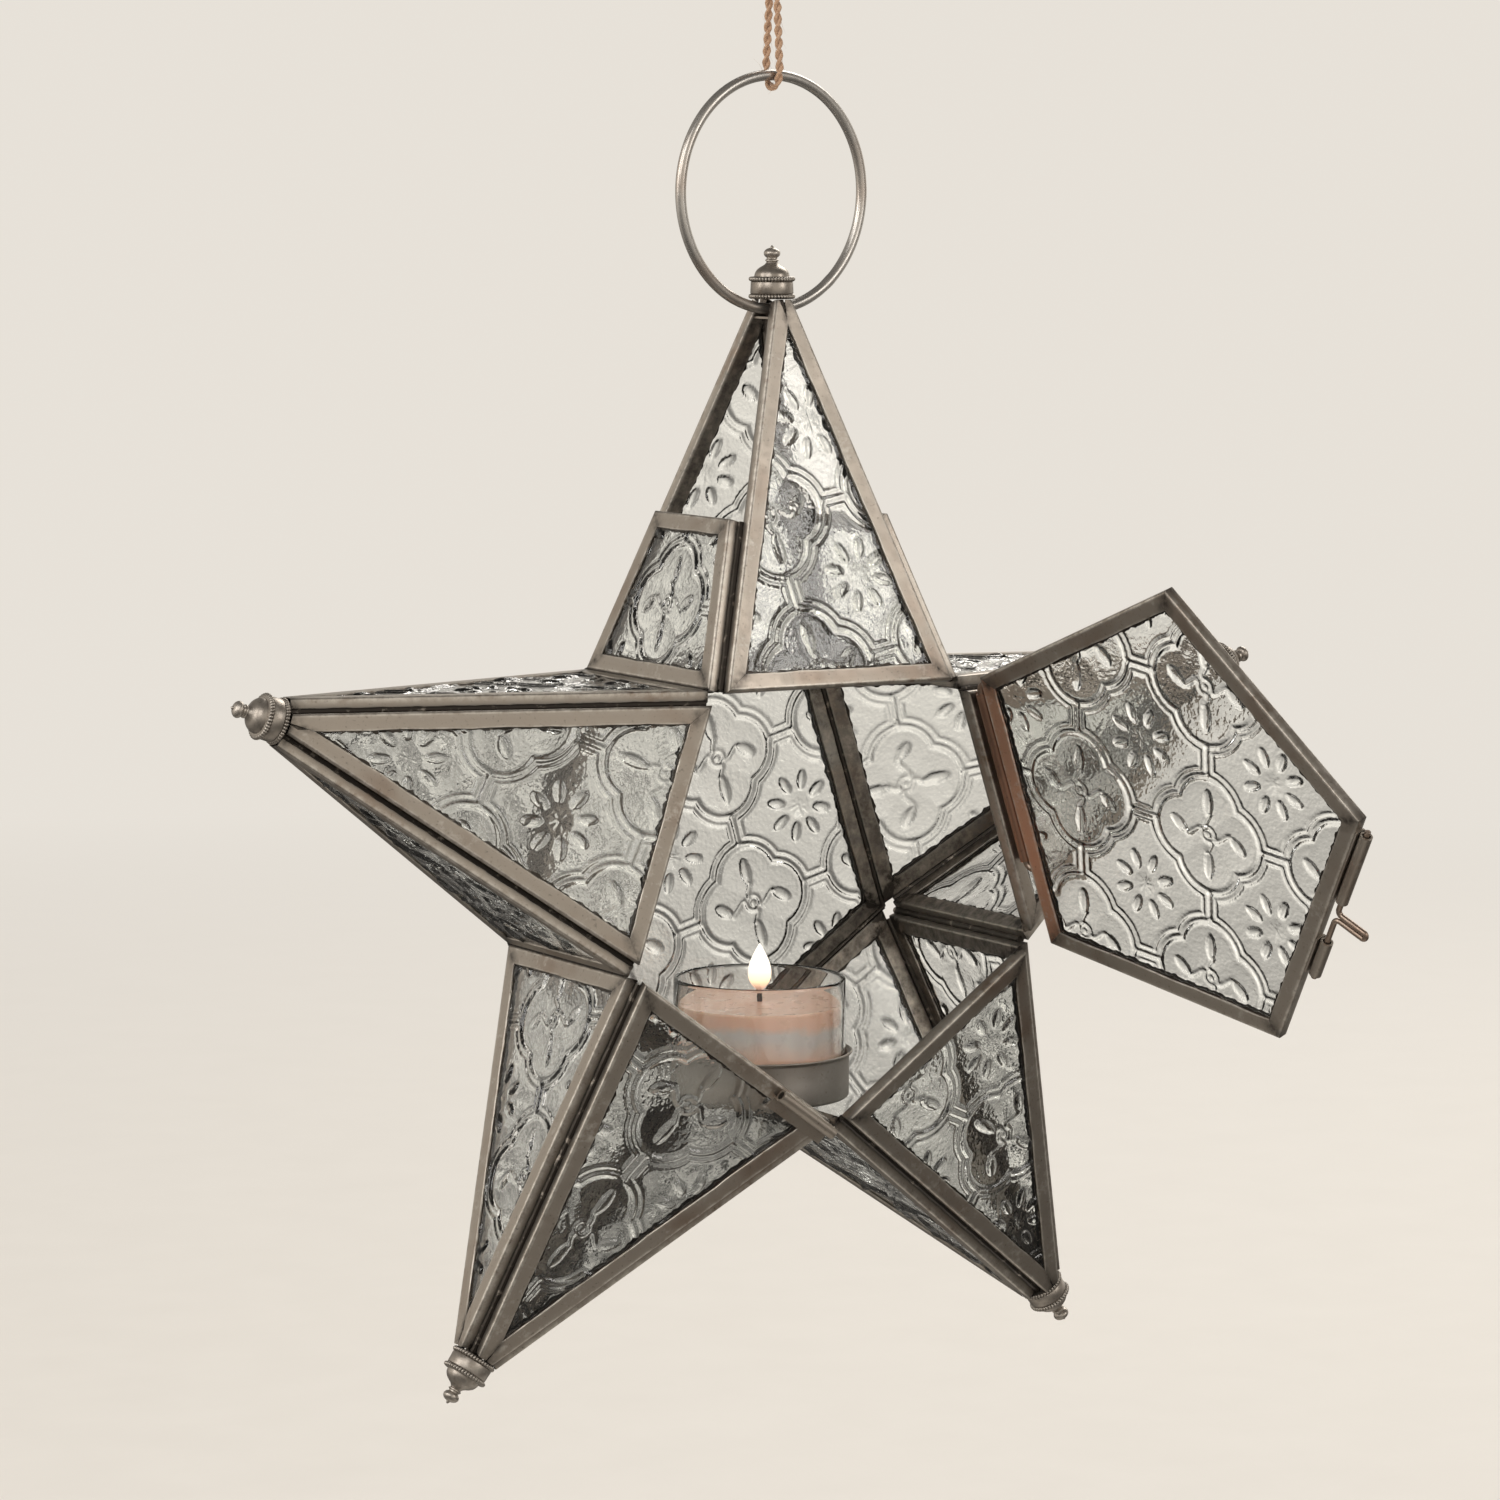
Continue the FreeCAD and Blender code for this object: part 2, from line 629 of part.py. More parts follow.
hinge_point = edge_point(HINGE_ANGLE, 0)
swing = Placement(Vector(0, 0, 0), Rotation(along_side(HINGE_ANGLE), size("door_open")), hinge_point)


def put_open(piece, closed):
    """Set a piece of the door at its open place, given the closed one."""
    put(piece, swing.multiply(closed))


door_frame, door_glass = pentagon_pane("door", "Derived.door_radius")
for piece, label in ((door_frame, "door_frame"), (door_glass, "door_glass")):
    put_open(piece, facing(REARWARD * -door_mid, RIGHTWARD, UP))
    keep(piece, label)

SLEEVE_HALF = "(Sizes.sleeve_length / 2 + Sizes.end_gap)"
hinge_corners = [
    (f"-{SLEEVE_HALF} - Sizes.hinge_bend", "-Derived.edge_seat", None),
    (f"-{SLEEVE_HALF} - Sizes.hinge_bend", "-Sizes.hinge_bend", "-Sizes.hinge_bend"),
    (f"-{SLEEVE_HALF}", 0, None),
    (SLEEVE_HALF, 0, "-Sizes.hinge_bend"),
    (f"{SLEEVE_HALF} + Sizes.hinge_bend", "-Sizes.hinge_bend", None),
    (f"{SLEEVE_HALF} + Sizes.hinge_bend", "-Derived.edge_seat", None),
]
hinge_offset = (f"-{SLEEVE_HALF} - Sizes.hinge_bend", None, "-Derived.edge_seat")
hinge_wire = bent_wire("hinge_staple", "Sizes.hinge_wire", "XY_Plane", hinge_offset, hinge_corners)


def wire_place(angle, shift):
    """Local X along the door's edge, local Z away from the door."""
    return facing(edge_point(angle, shift), along_side(angle), radial(angle).cross(along_side(angle)))


put_open(hinge_wire, wire_place(HINGE_ANGLE, size("sleeve_shift")))
keep(hinge_wire, "hinge_wire")


def foot_beside(radius, seat):
    """Strip from a tube's side down to its seat, with the foot beside the tube."""
    inner = f"{radius} - Sizes.sheet"
    tail = f"{radius} + Sizes.foot_length"
    top = f"-{seat} + Sizes.sheet"
    return [(inner, 0), (inner, f"-{seat}"), (tail, f"-{seat}"), (tail, top), (radius, top), (radius, 0)]


def foot_under(radius, seat):
    """Strip from a tube's side down to its seat, with the foot under the tube."""
    inner = f"{radius} - Sizes.sheet"
    top = f"-{seat} + Sizes.sheet"
    far = f"-{radius}"
    return [(inner, 0), (inner, top), (far, top), (far, f"-{seat}"), (radius, f"-{seat}"), (radius, 0)]


def chamber_tube(label, bore, radius, length, angle, shift):
    """Rolled tube whose foot lies on the outer face of an arm's front frame."""
    tube = rolled_tube(label, bore, radius, length, foot_beside(radius, "Derived.face_seat"))
    tilt = math.radians(derived.pitch)
    outward = radial(angle) * math.sin(tilt) - REARWARD * math.cos(tilt)
    upslope = radial(angle) * math.cos(tilt) + REARWARD * math.sin(tilt)
    put(tube, facing(edge_point(angle, shift), upslope, outward))
    return tube


def door_tube(label, bore, radius, length, angle, shift):
    """Rolled tube whose foot lies on the door's edge."""
    tube = rolled_tube(label, bore, radius, length, foot_under(radius, "Derived.edge_seat"))
    put_open(tube, facing(edge_point(angle, shift), REARWARD * -1, radial(angle)))
    return tube


sleeve = chamber_tube("sleeve", "Derived.sleeve_bore", "Derived.sleeve_radius", "Sizes.sleeve_length",
                      HINGE_ANGLE, size("sleeve_shift"))
keep(sleeve, "hinge_sleeve")
GUIDE = ("Derived.guide_bore", "Derived.guide_radius")
keep(chamber_tube("catch", *GUIDE, "Sizes.catch_length", LATCH_ANGLE, size("catch_shift")), "latch_catch")
keep(door_tube("guide", *GUIDE, "Sizes.guide_length", LATCH_ANGLE, -size("guide_shift")), "long_bolt_guide")
keep(door_tube("short_guide", *GUIDE, "Sizes.short_guide_length", LATCH_ANGLE, size("short_guide_shift")),
     "short_bolt_guide")

# The bolt's own zero is under its hairpin handle
BOLT_START = "(Sizes.guide_shift + Sizes.guide_length / 2 + Sizes.bolt_tail - Sizes.handle_shift)"
BOLT_END = "(Sizes.short_guide_shift + Sizes.short_guide_length / 2 + Sizes.bolt_nose + Sizes.handle_shift)"
FOOT = "(Sizes.handle_turn + Sizes.bolt_bend)"
TURN = "Sizes.handle_turn"
LEG_TOP = "(Sizes.handle_height - Sizes.handle_turn)"
bolt_corners = [
    (f"-{BOLT_START}", 0, None),
    (f"-{FOOT}", 0, "Sizes.bolt_bend"),
    (f"-{TURN}", "Sizes.bolt_bend", None),
    (f"-{TURN}", LEG_TOP, f"-{TURN}"),
    (0, "Sizes.handle_height", f"-{TURN}"),
    (TURN, LEG_TOP, None),
    (TURN, "Sizes.bolt_bend", "Sizes.bolt_bend"),
    (FOOT, 0, None),
    (BOLT_END, 0, None),
]
bolt = bent_wire("bolt", "Sizes.bolt_wire", "YZ_Plane", (None, None, f"-{BOLT_START}"), bolt_corners)
put_open(bolt, wire_place(LATCH_ANGLE, -size("handle_shift")))
keep(bolt, "latch_bolt")

# Tin candle holder on the valley frames, and the tealight that stands in it

lower_corner = radial(-TOP_ANGLE) * size("pentagon_radius")
down_slope = (radial(-TOP_ANGLE + HALF_STEP) * size("arm_reach") - lower_corner).normalize()
holder_floor = lower_corner.z + derived.valley_inset * down_slope.z + size("solder_gap")
candle_axis = REARWARD * size("candle_shift")

LIP_LEVEL = "(Sizes.holder_height - Sizes.sheet - Sizes.holder_lip)"
holder_corners = [
    (0, 0, None),
    ("Derived.holder_outer", 0, None),
    ("Derived.holder_outer", LIP_LEVEL, "-Sizes.holder_lip"),
    ("Derived.holder_outer + Sizes.holder_lip", "Sizes.holder_height - Sizes.sheet", None),
    ("Derived.holder_outer + Sizes.holder_lip", "Sizes.holder_height", "Sizes.holder_lip + Sizes.sheet"),
    ("Derived.holder_inner", LIP_LEVEL, None),
    ("Derived.holder_inner", "Sizes.sheet", None),
    (0, "Sizes.sheet", None),
]
holder = turned("holder", holder_corners)
put(holder, Placement(candle_axis + UP * holder_floor, Rotation()))
keep(holder, "candle_holder")

CUP_ROUND = "(Sizes.cup_wall + Sizes.cup_corner)"
cup_corners = [
    (0, 0, None),
    (f"Sizes.candle_radius - {CUP_ROUND}", 0, CUP_ROUND),
    ("Sizes.candle_radius", CUP_ROUND, None),
    ("Sizes.candle_radius", "Sizes.candle_height", None),
    ("Derived.candle_inner", "Sizes.candle_height", None),
    ("Derived.candle_inner", CUP_ROUND, "-Sizes.cup_corner"),
    (f"Sizes.candle_radius - {CUP_ROUND}", "Sizes.cup_wall", None),
    (0, "Sizes.cup_wall", None),
]
WAX_LOW = "(Sizes.cup_wall + Sizes.wax_gap)"
WAX_TOP = f"({WAX_LOW} + Derived.wax_height)"
WAX_CORNER = f"({WAX_LOW} + Sizes.cup_corner)"
CLIP_FLOOR = f"({WAX_LOW} + Sizes.sheet)"
CLIP_TOP = f"({CLIP_FLOOR} + Sizes.clip_height)"
WICK_BORE = "(Sizes.wick + Sizes.wax_gap)"
wax_corners = [
    ("Sizes.clip_radius + Sizes.wax_gap", WAX_LOW, None),
    ("Derived.wax_radius - Sizes.cup_corner", WAX_LOW, "Sizes.cup_corner"),
    ("Derived.wax_radius", WAX_CORNER, None),
    ("Derived.wax_radius", WAX_TOP, None),
    (WICK_BORE, WAX_TOP, None),
    (WICK_BORE, f"{CLIP_TOP} + Sizes.wax_gap", None),
    ("Sizes.clip_neck + Sizes.wax_gap", f"{CLIP_TOP} + Sizes.wax_gap", None),
    ("Sizes.clip_neck + Sizes.wax_gap", f"{CLIP_FLOOR} + Sizes.wax_gap", None),
    ("Sizes.clip_radius + Sizes.wax_gap", f"{CLIP_FLOOR} + Sizes.wax_gap", None),
]
clip_corners = [
    (0, WAX_LOW, None),
    ("Sizes.clip_radius", WAX_LOW, None),
    ("Sizes.clip_radius", CLIP_FLOOR, None),
    ("Sizes.clip_neck", CLIP_FLOOR, None),
    ("Sizes.clip_neck", CLIP_TOP, None),
    (WICK_BORE, CLIP_TOP, None),
    (WICK_BORE, CLIP_FLOOR, None),
    (0, CLIP_FLOOR, None),
]
# Turn of the burnt wick's tip, in degrees
WICK_TURN = 65
WICK_FOOT = f"({CLIP_FLOOR} + Sizes.wax_gap)"
WICK_BEND = f"({WAX_TOP} + Sizes.wick_rise)"
wick_corners = [
    (0, WICK_FOOT, None),
    (0, WICK_BEND, "Sizes.wick_hook"),
    (f"-Sizes.wick_hook * (1 - cos({WICK_TURN}))", f"{WICK_BEND} + Sizes.wick_hook * sin({WICK_TURN})", None),
]
wick = bent_wire("wick", "Sizes.wick", "XY_Plane", (None, None, WICK_FOOT), wick_corners)
candle_floor = holder_floor + size("sheet") + size("solder_gap")
tealight = (
    (turned("cup", cup_corners), "tealight_cup"),
    (turned("wax", wax_corners), "tealight_wax"),
    (turned("clip", clip_corners), "wick_foot"),
    (wick, "tealight_wick"),
)
for piece, label in tealight:
    put(piece, Placement(candle_axis + UP * candle_floor, Rotation()))
    keep(piece, label)

doc.recompute()

# Checks before anything is written

for thing in doc.Objects:
    if "Invalid" in thing.State or "Error" in thing.State:
        raise RuntimeError(f"{thing.Name} failed: {thing.State}")
labels = [piece.Label for piece in nodes]
if len(set(labels)) != len(labels):
    raise RuntimeError("two nodes have one name")
for piece in nodes:
    if piece.Shape.isNull() or not piece.Shape.isValid() or not piece.Shape.Solids:
        raise RuntimeError(f"{piece.Label} has no sound solid")

os.makedirs("parts", exist_ok=True)
for piece in nodes:
    piece.Shape.exportStep(os.path.join("parts", piece.Label + ".step"))
print(len(nodes), "nodes,", sum(len(piece.Shape.Solids) for piece in nodes), "solids")
print("hang height", round(hang_height, 4), "pivot", round(ring_pivot, 4))
print("hinge point", hinge_point, "along", along_side(HINGE_ANGLE))
print("bolt direction", swing.Rotation.multVec(along_side(LATCH_ANGLE)), "floor", round(holder_floor, 4))
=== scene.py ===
# %% [markdown]
# # A star lantern of pressed glass
# The lantern is a hollow five-armed star. Every face is a pane of pressed glass in a frame of folded tin
# channel. This lesson loads the measured solids as a fixed frame and then dresses them piece by piece.
# Sizes are in millimetres while a piece is worked out, and become metres as its mesh is made.

# %% Load the measured frame
import math
import bpy
import numpy as np
from mathutils import Matrix


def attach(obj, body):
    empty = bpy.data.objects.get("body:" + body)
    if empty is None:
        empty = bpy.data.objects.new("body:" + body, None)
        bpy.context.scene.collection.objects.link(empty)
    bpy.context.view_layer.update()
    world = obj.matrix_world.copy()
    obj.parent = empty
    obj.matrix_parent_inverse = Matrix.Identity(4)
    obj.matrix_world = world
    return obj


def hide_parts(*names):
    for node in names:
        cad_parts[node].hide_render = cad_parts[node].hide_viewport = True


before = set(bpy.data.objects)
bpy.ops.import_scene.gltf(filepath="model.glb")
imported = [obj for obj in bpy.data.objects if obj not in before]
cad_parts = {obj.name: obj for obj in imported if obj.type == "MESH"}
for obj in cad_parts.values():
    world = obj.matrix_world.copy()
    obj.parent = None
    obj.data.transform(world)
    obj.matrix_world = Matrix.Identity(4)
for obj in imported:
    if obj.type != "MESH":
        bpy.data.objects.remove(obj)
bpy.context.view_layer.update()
print("solids loaded:", len(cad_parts))

# %% [markdown]
# ## Sizes that the pieces share
# The star's own zero is the middle of its chamber. The row's zero is the top of the hanging ring, 175.2 mm
# above. A few driving sizes give all the others, by the same formulas that the solids use, so nothing has
# to be fitted.

# %% Sizes of the star
HANG_HEIGHT = 175.2
PENTAGON_RADIUS = 50.8
HALF_DEPTH = 28.2
ARM_REACH = 134.0
ARM_CUT = 127.2
SHEET = 0.45
GLASS = 2.1
CHANNEL_FACE = 3.8
RIDGE_GAP = 0.3
OPENING_INSET = 2.0
VENT_LEVEL = 40.0
GLASS_TIP = 3.4

APOTHEM = PENTAGON_RADIUS * math.cos(math.radians(36))
HALF_SIDE = PENTAGON_RADIUS * math.sin(math.radians(36))
ARM_LENGTH = ARM_REACH - APOTHEM
FRONT_SLANT = math.hypot(ARM_LENGTH, HALF_DEPTH)
SIDE_SLANT = math.hypot(ARM_LENGTH, HALF_SIDE)
EDGE = math.hypot(FRONT_SLANT, HALF_SIDE)
THICKNESS = GLASS + 2 * SHEET
PITCH = math.atan(HALF_DEPTH / ARM_LENGTH)
FLANK = math.atan(HALF_SIDE / ARM_LENGTH)
VALLEY_INSET = (THICKNESS + 0.1) / math.tan(math.radians(36) + FLANK)
ARM_END = ARM_CUT - APOTHEM - 0.05
FRONT_CUT = (ARM_END - THICKNESS * math.sin(PITCH)) / math.cos(PITCH)
SIDE_CUT = (ARM_END - THICKNESS * math.sin(FLANK)) / math.cos(FLANK)
FRONT_REACH = HALF_DEPTH - OPENING_INSET * math.sin(PITCH) + THICKNESS * math.cos(PITCH)
DOOR_MID = FRONT_REACH + 0.3 + THICKNESS / 2
DOOR_RADIUS = 54.4
DOOR_OPEN = math.radians(103.5)
RING_YAW = math.radians(8)
RING_RADIUS = 25.7
RING_WIRE = 1.2
print("slant of a front face:", round(FRONT_SLANT, 2), "mm, of a side face:", round(SIDE_SLANT, 2), "mm")

# %% Directions and places
UP = np.array([0.0, 0.0, 1.0])
REARWARD = np.array([0.0, 1.0, 0.0])
RIGHTWARD = np.array([1.0, 0.0, 0.0])


def unit(vectors):
    """Each vector over its own length."""
    return vectors / np.linalg.norm(vectors, axis=-1, keepdims=True)


def circle(reach, angle, first, second):
    """Offset from a centre: reach times (cos angle times first + sin angle times second)."""
    return (reach * np.cos(angle))[..., None] * first + (reach * np.sin(angle))[..., None] * second


def radial(degrees):
    """Unit vector in the plane of the star: (cos, 0, sin) of an angle above the right."""
    angle = math.radians(degrees)
    return np.array([math.cos(angle), 0.0, math.sin(angle)])


def along_side(degrees):
    """Unit vector along a side of the pentagon, anticlockwise: (-sin, 0, cos)."""
    angle = math.radians(degrees)
    return np.array([-math.sin(angle), 0.0, math.cos(angle)])


def seat(points, origin, across, upward):
    """Local points set in the star: origin + x * across + y * upward + z * their cross product."""
    outward = np.cross(across, upward)
    return origin + points @ np.stack([across, upward, outward])


def row_metres(points):
    """Star millimetres to the row's metres: down by the hang height, then divided by 1000."""
    return (points - HANG_HEIGHT * UP) / 1000


HINGE_AXIS = along_side(18)
HINGE_POINT = radial(18) * (DOOR_RADIUS * math.cos(math.radians(36)) + 2.0) - REARWARD * DOOR_MID


def swing_open(points):
    """Closed door to open door: turn about the hinge's axis by the formula of an angle about a unit axis."""
    arm = points - HINGE_POINT
    along = (arm @ HINGE_AXIS)[..., None] * HINGE_AXIS
    turned = np.cos(DOOR_OPEN) * (arm - along) + np.sin(DOOR_OPEN) * np.cross(HINGE_AXIS, arm)
    return HINGE_POINT + along + turned


print("hinge point:", np.round(HINGE_POINT, 3))

# %% [markdown]
# ## The camera
# The photographer stood to the left of the lantern and a little above its middle, with a long lens. The
# camera comes first, because every later choice is judged through it. It was fitted to the star's corners
# and knobs, and is written as a place, the direction of its view and the direction of its upper side.

# %% Camera
CAMERA_PLACE = np.array([-575.3, -950.7, 152.7])
CAMERA_FORWARD = unit(np.array([0.5110, 0.8521, -0.1127]))
CAMERA_UP = np.array([0.0545, 0.0987, 0.9936])


def stand(thing, place, back, right):
    """Object in the scene at a place in metres, its own x to the right and its own z backwards."""
    turn = np.eye(4)
    turn[:3, 0], turn[:3, 1], turn[:3, 2], turn[:3, 3] = right, np.cross(back, right), back, place
    bpy.context.scene.collection.objects.link(thing)
    thing.matrix_world = Matrix(turn.tolist())


camera_data = bpy.data.cameras.new("camera")
camera_data.lens = 120
camera_data.sensor_width = 36
camera_data.clip_start = 0.05
camera_data.clip_end = 100
camera = bpy.data.objects.new("camera", camera_data)
stand(camera, row_metres(CAMERA_PLACE), -CAMERA_FORWARD, unit(np.cross(CAMERA_FORWARD, CAMERA_UP)))
bpy.context.scene.camera = camera
print("camera at", np.round(row_metres(CAMERA_PLACE), 3))

# %% [markdown]
# ## A mesh from grids
# Every new piece is one or more closed shells. A shell is a grid of points, worked out as whole arrays,
# with a polygon over each open end. The arrays go straight into the mesh, so even a fine pane is quick.
# Three numbers go with each point for the metals: how near it is to a fold, how dark its grime and painted
# shade are, and its copper plating.

# %% Grids and shells


def grid(rows, columns, closed):
    """Quads between neighbours on a grid, and each corner's row and column before a closed row wraps."""
    last = columns if closed else columns - 1
    row, column = np.meshgrid(np.arange(rows - 1), np.arange(last), indexing="ij")
    corner_rows = np.stack([row, row + 1, row + 1, row], -1).reshape(-1, 4)
    corner_columns = np.stack([column, column, column + 1, column + 1], -1).reshape(-1, 4)
    return corner_rows * columns + corner_columns % columns, corner_rows, corner_columns


def loft(rings, fold=0.0, joint_and_shade=0.0):
    """Closed shell through rings of points, row after row, with a flat cap at each end.
    Its UV is (share of the way along, share of the way round)."""
    rows, columns = rings.shape[:2]
    quads, corner_rows, corner_columns = grid(rows, columns, True)
    uv = np.stack([corner_rows / (rows - 1), corner_columns / columns], -1)
    first = np.arange(columns)[None, :]
    last = first[:, ::-1] + (rows - 1) * columns
    cap_uv = np.zeros((1, columns, 2))
    return {
        "points": rings.reshape(-1, 3),
        "faces": [quads, first, last],
        "uv": [uv, cap_uv, cap_uv + [1, 0]],
        "fold": np.broadcast_to(fold, (rows, columns)).reshape(-1),
        "joint_and_shade": np.broadcast_to(joint_and_shade, (rows, columns)).reshape(-1),
    }


def signed_volume(points, faces):
    """Six times the volume inside a shell: the sum over its triangles of a dot (b cross c)."""
    total = 0.0
    for polygons in faces:
        a = points[polygons[:, 0]]
        for corner in range(1, polygons.shape[1] - 1):
            b, c = points[polygons[:, corner]], points[polygons[:, corner + 1]]
            total += np.einsum("ij,ij->", a, np.cross(b, c))
    return total


print("grid, loft and volume helpers ready")

# %% Pieces


def make_piece(name, shells, material, body, replaced=(), smooth_up_to=40):
    """One object from closed shells in metres, its faces turned outwards by the sign of each volume."""
    points, corners, sizes, uvs = [], [], [], []
    offset = 0
    for shell in shells:
        inside_out = signed_volume(shell["points"], shell["faces"]) < 0
        for polygons, uv in zip(shell["faces"], shell["uv"]):
            if inside_out:
                polygons, uv = polygons[:, ::-1], uv[:, ::-1]
            corners.append((polygons + offset).reshape(-1))
            uvs.append(uv.reshape(-1, 2))
            sizes.append(np.full(len(polygons), polygons.shape[1]))
        points.append(shell["points"])
        offset += len(shell["points"])
    points, corners, sizes = np.concatenate(points), np.concatenate(corners), np.concatenate(sizes)
    mesh = bpy.data.meshes.new(name)
    mesh.vertices.add(len(points))
    mesh.vertices.foreach_set("co", points.astype(np.float32).reshape(-1))
    mesh.loops.add(len(corners))
    mesh.loops.foreach_set("vertex_index", corners.astype(np.int32))
    mesh.polygons.add(len(sizes))
    mesh.polygons.foreach_set("loop_start", np.concatenate([[0], np.cumsum(sizes)[:-1]]).astype(np.int32))
    mesh.update(calc_edges=True)
    layer = mesh.uv_layers.new(name="UVMap")
    layer.data.foreach_set("uv", np.concatenate(uvs).astype(np.float32).reshape(-1))
    for key in ("fold", "joint_and_shade", "copper"):
        values = np.concatenate([shell.get(key, 0 * shell["fold"]) for shell in shells]).astype(np.float32)
        mesh.attributes.new(key, "FLOAT", "POINT").data.foreach_set("value", values)
    mesh.validate()
    mesh.shade_smooth()
    mesh.set_sharp_from_angle(angle=math.radians(smooth_up_to))
    mesh.materials.append(material)
    piece = bpy.data.objects.new(name, mesh)
    bpy.context.scene.collection.objects.link(piece)
    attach(piece, body)
    if replaced:
        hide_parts(*replaced)
    return piece


print("piece helper ready")

# %% [markdown]
# ## Nodes for the finishes
# Two shared effects are node groups: the tarnish and painted shade of old metal, and the stipple and smears
# of pressed glass.
# A third, the tones of a room, comes with the floor. A group hands out only masks, heights and colours. The
# shader stays in each material, with the values that are the same all over the surface on its own sockets.

# %% Node helpers


def node(tree, kind, inputs=None, **settings):
    """New node. An input given as another node's output is linked, and any other value is set."""
    made = tree.nodes.new("ShaderNode" + kind)
    for name, value in settings.items():
        setattr(made, name, value)
    for name, value in (inputs or {}).items():
        if isinstance(value, bpy.types.NodeSocket):
            tree.links.new(value, made.inputs[name])
        else:
            made.inputs[name].default_value = value
    return made


def shade(red, green, blue):
    """Opaque colour."""
    return (red, green, blue, 1.0)


def mixed(tree, share, first, second):
    """Colour between two colours by a share."""
    made = node(tree, "Mix", data_type="RGBA")
    for socket, value in zip((made.inputs[0], made.inputs[6], made.inputs[7]), (share, first, second)):
        if isinstance(value, bpy.types.NodeSocket):
            tree.links.new(value, socket)
        else:
            socket.default_value = value
    return made.outputs[2]


def ramp(tree, value, low, high, start=0.0, end=1.0):
    """Number that goes from start to end while the value goes from low to high."""
    inputs = {"Value": value, "From Min": low, "From Max": high, "To Min": start, "To Max": end}
    return node(tree, "MapRange", inputs).outputs["Result"]


def maths(tree, operation, first, second=0.0):
    """Result of one Math node."""
    return node(tree, "Math", {0: first, 1: second}, operation=operation).outputs[0]


def noise(tree, vector, scale, detail=4.0, roughness=0.55):
    """Even noise from 0 to 1."""
    inputs = {"Vector": vector, "Scale": scale, "Detail": detail, "Roughness": roughness}
    return node(tree, "TexNoise", inputs).outputs["Fac"]


print("node, colour and maths helpers ready")

# %% Shared effects and materials


def shared_effect(name, takes, gives):
    """Node group with named inputs and outputs, and its two end nodes."""
    group = bpy.data.node_groups.new(name, "ShaderNodeTree")
    for label, kind, value in takes:
        socket = group.interface.new_socket(label, in_out="INPUT", socket_type=kind)
        if value is not None:
            socket.default_value = value
    for label, kind in gives:
        group.interface.new_socket(label, in_out="OUTPUT", socket_type=kind)
    return group, group.nodes.new("NodeGroupInput").outputs, group.nodes.new("NodeGroupOutput").inputs


def finish_material(name):
    """New material, its node tree, its shader and its coordinates in the object's own space."""
    material = bpy.data.materials.new(name)
    material.use_nodes = True
    tree = material.node_tree
    coordinates = node(tree, "TexCoord").outputs["Object"]
    return material, tree, tree.nodes["Principled BSDF"], coordinates


def roughen(tree, shader, height, strength, distance):
    """Small relief on a shader's normal, from a height over the surface."""
    relief = node(tree, "Bump", {"Height": height, "Strength": strength, "Distance": distance})
    tree.links.new(relief.outputs["Normal"], shader.inputs["Normal"])


print("effect and material helpers ready")

# %% [markdown]
# ## Old metals
# The tin is rubbed bright on its folds, stained brown in patches and dark in its joints. Painted shade
# darkens the faces inside the star, the strips along the lips and the seams. Painted by hand, every piece
# would need a picture of its own. Here one group mixes a broad noise, a fine one and the numbers on the
# points into masks, and each metal takes them with its own four colours, the darkest for grime and painted
# shade.

# %% Tarnish and painted shade, shared by the metals
FLOAT, VECTOR = "NodeSocketFloat", "NodeSocketVector"
tarnish_and_shade, takes, gives = shared_effect(
    "tarnish_and_shade",
    [("Vector", VECTOR, None), ("Fold", FLOAT, 0.0), ("Joint_and_shade", FLOAT, 0.0), ("Wear", FLOAT, 0.5)],
    [("Worn", FLOAT), ("Stain", FLOAT), ("Grime_and_shade", FLOAT), ("Height", FLOAT)],
)
broad = noise(tarnish_and_shade, takes["Vector"], 55.0, 5.0)
fine = noise(tarnish_and_shade, takes["Vector"], 420.0, 4.0, 0.7)
speck = noise(tarnish_and_shade, takes["Vector"], 1500.0, 2.0)
edge_rub = maths(tarnish_and_shade, "MULTIPLY", takes["Fold"], ramp(tarnish_and_shade, fine, 0.36, 0.62))
open_rub = ramp(tarnish_and_shade, maths(tarnish_and_shade, "MULTIPLY", broad, fine), 0.30, 0.46)
worn = maths(tarnish_and_shade, "MULTIPLY", maths(tarnish_and_shade, "MAXIMUM", edge_rub, open_rub), takes["Wear"])
tarnish_and_shade.links.new(worn, gives["Worn"])
tarnish_and_shade.links.new(ramp(tarnish_and_shade, noise(tarnish_and_shade, takes["Vector"], 34.0, 3.0), 0.52, 0.70), gives["Stain"])
# Dark crevices, with painted shade where the points carry it: inside the star, along the lips, on the seams
crevice_grime_and_shade = maths(tarnish_and_shade, "MULTIPLY", takes["Joint_and_shade"], ramp(tarnish_and_shade, fine, 0.30, 0.65))
spots = ramp(tarnish_and_shade, speck, 0.62, 0.78, 0.0, 0.5)
tarnish_and_shade.links.new(maths(tarnish_and_shade, "MAXIMUM", crevice_grime_and_shade, spots), gives["Grime_and_shade"])
tarnish_and_shade.links.new(maths(tarnish_and_shade, "ADD", maths(tarnish_and_shade, "MULTIPLY", broad, 0.6), fine), gives["Height"])
print("tarnish group:", len(tarnish_and_shade.nodes), "nodes")

# %% Metal finishes
PLATING = shade(0.54, 0.29, 0.19)
PLATING_SHARE = 0.8


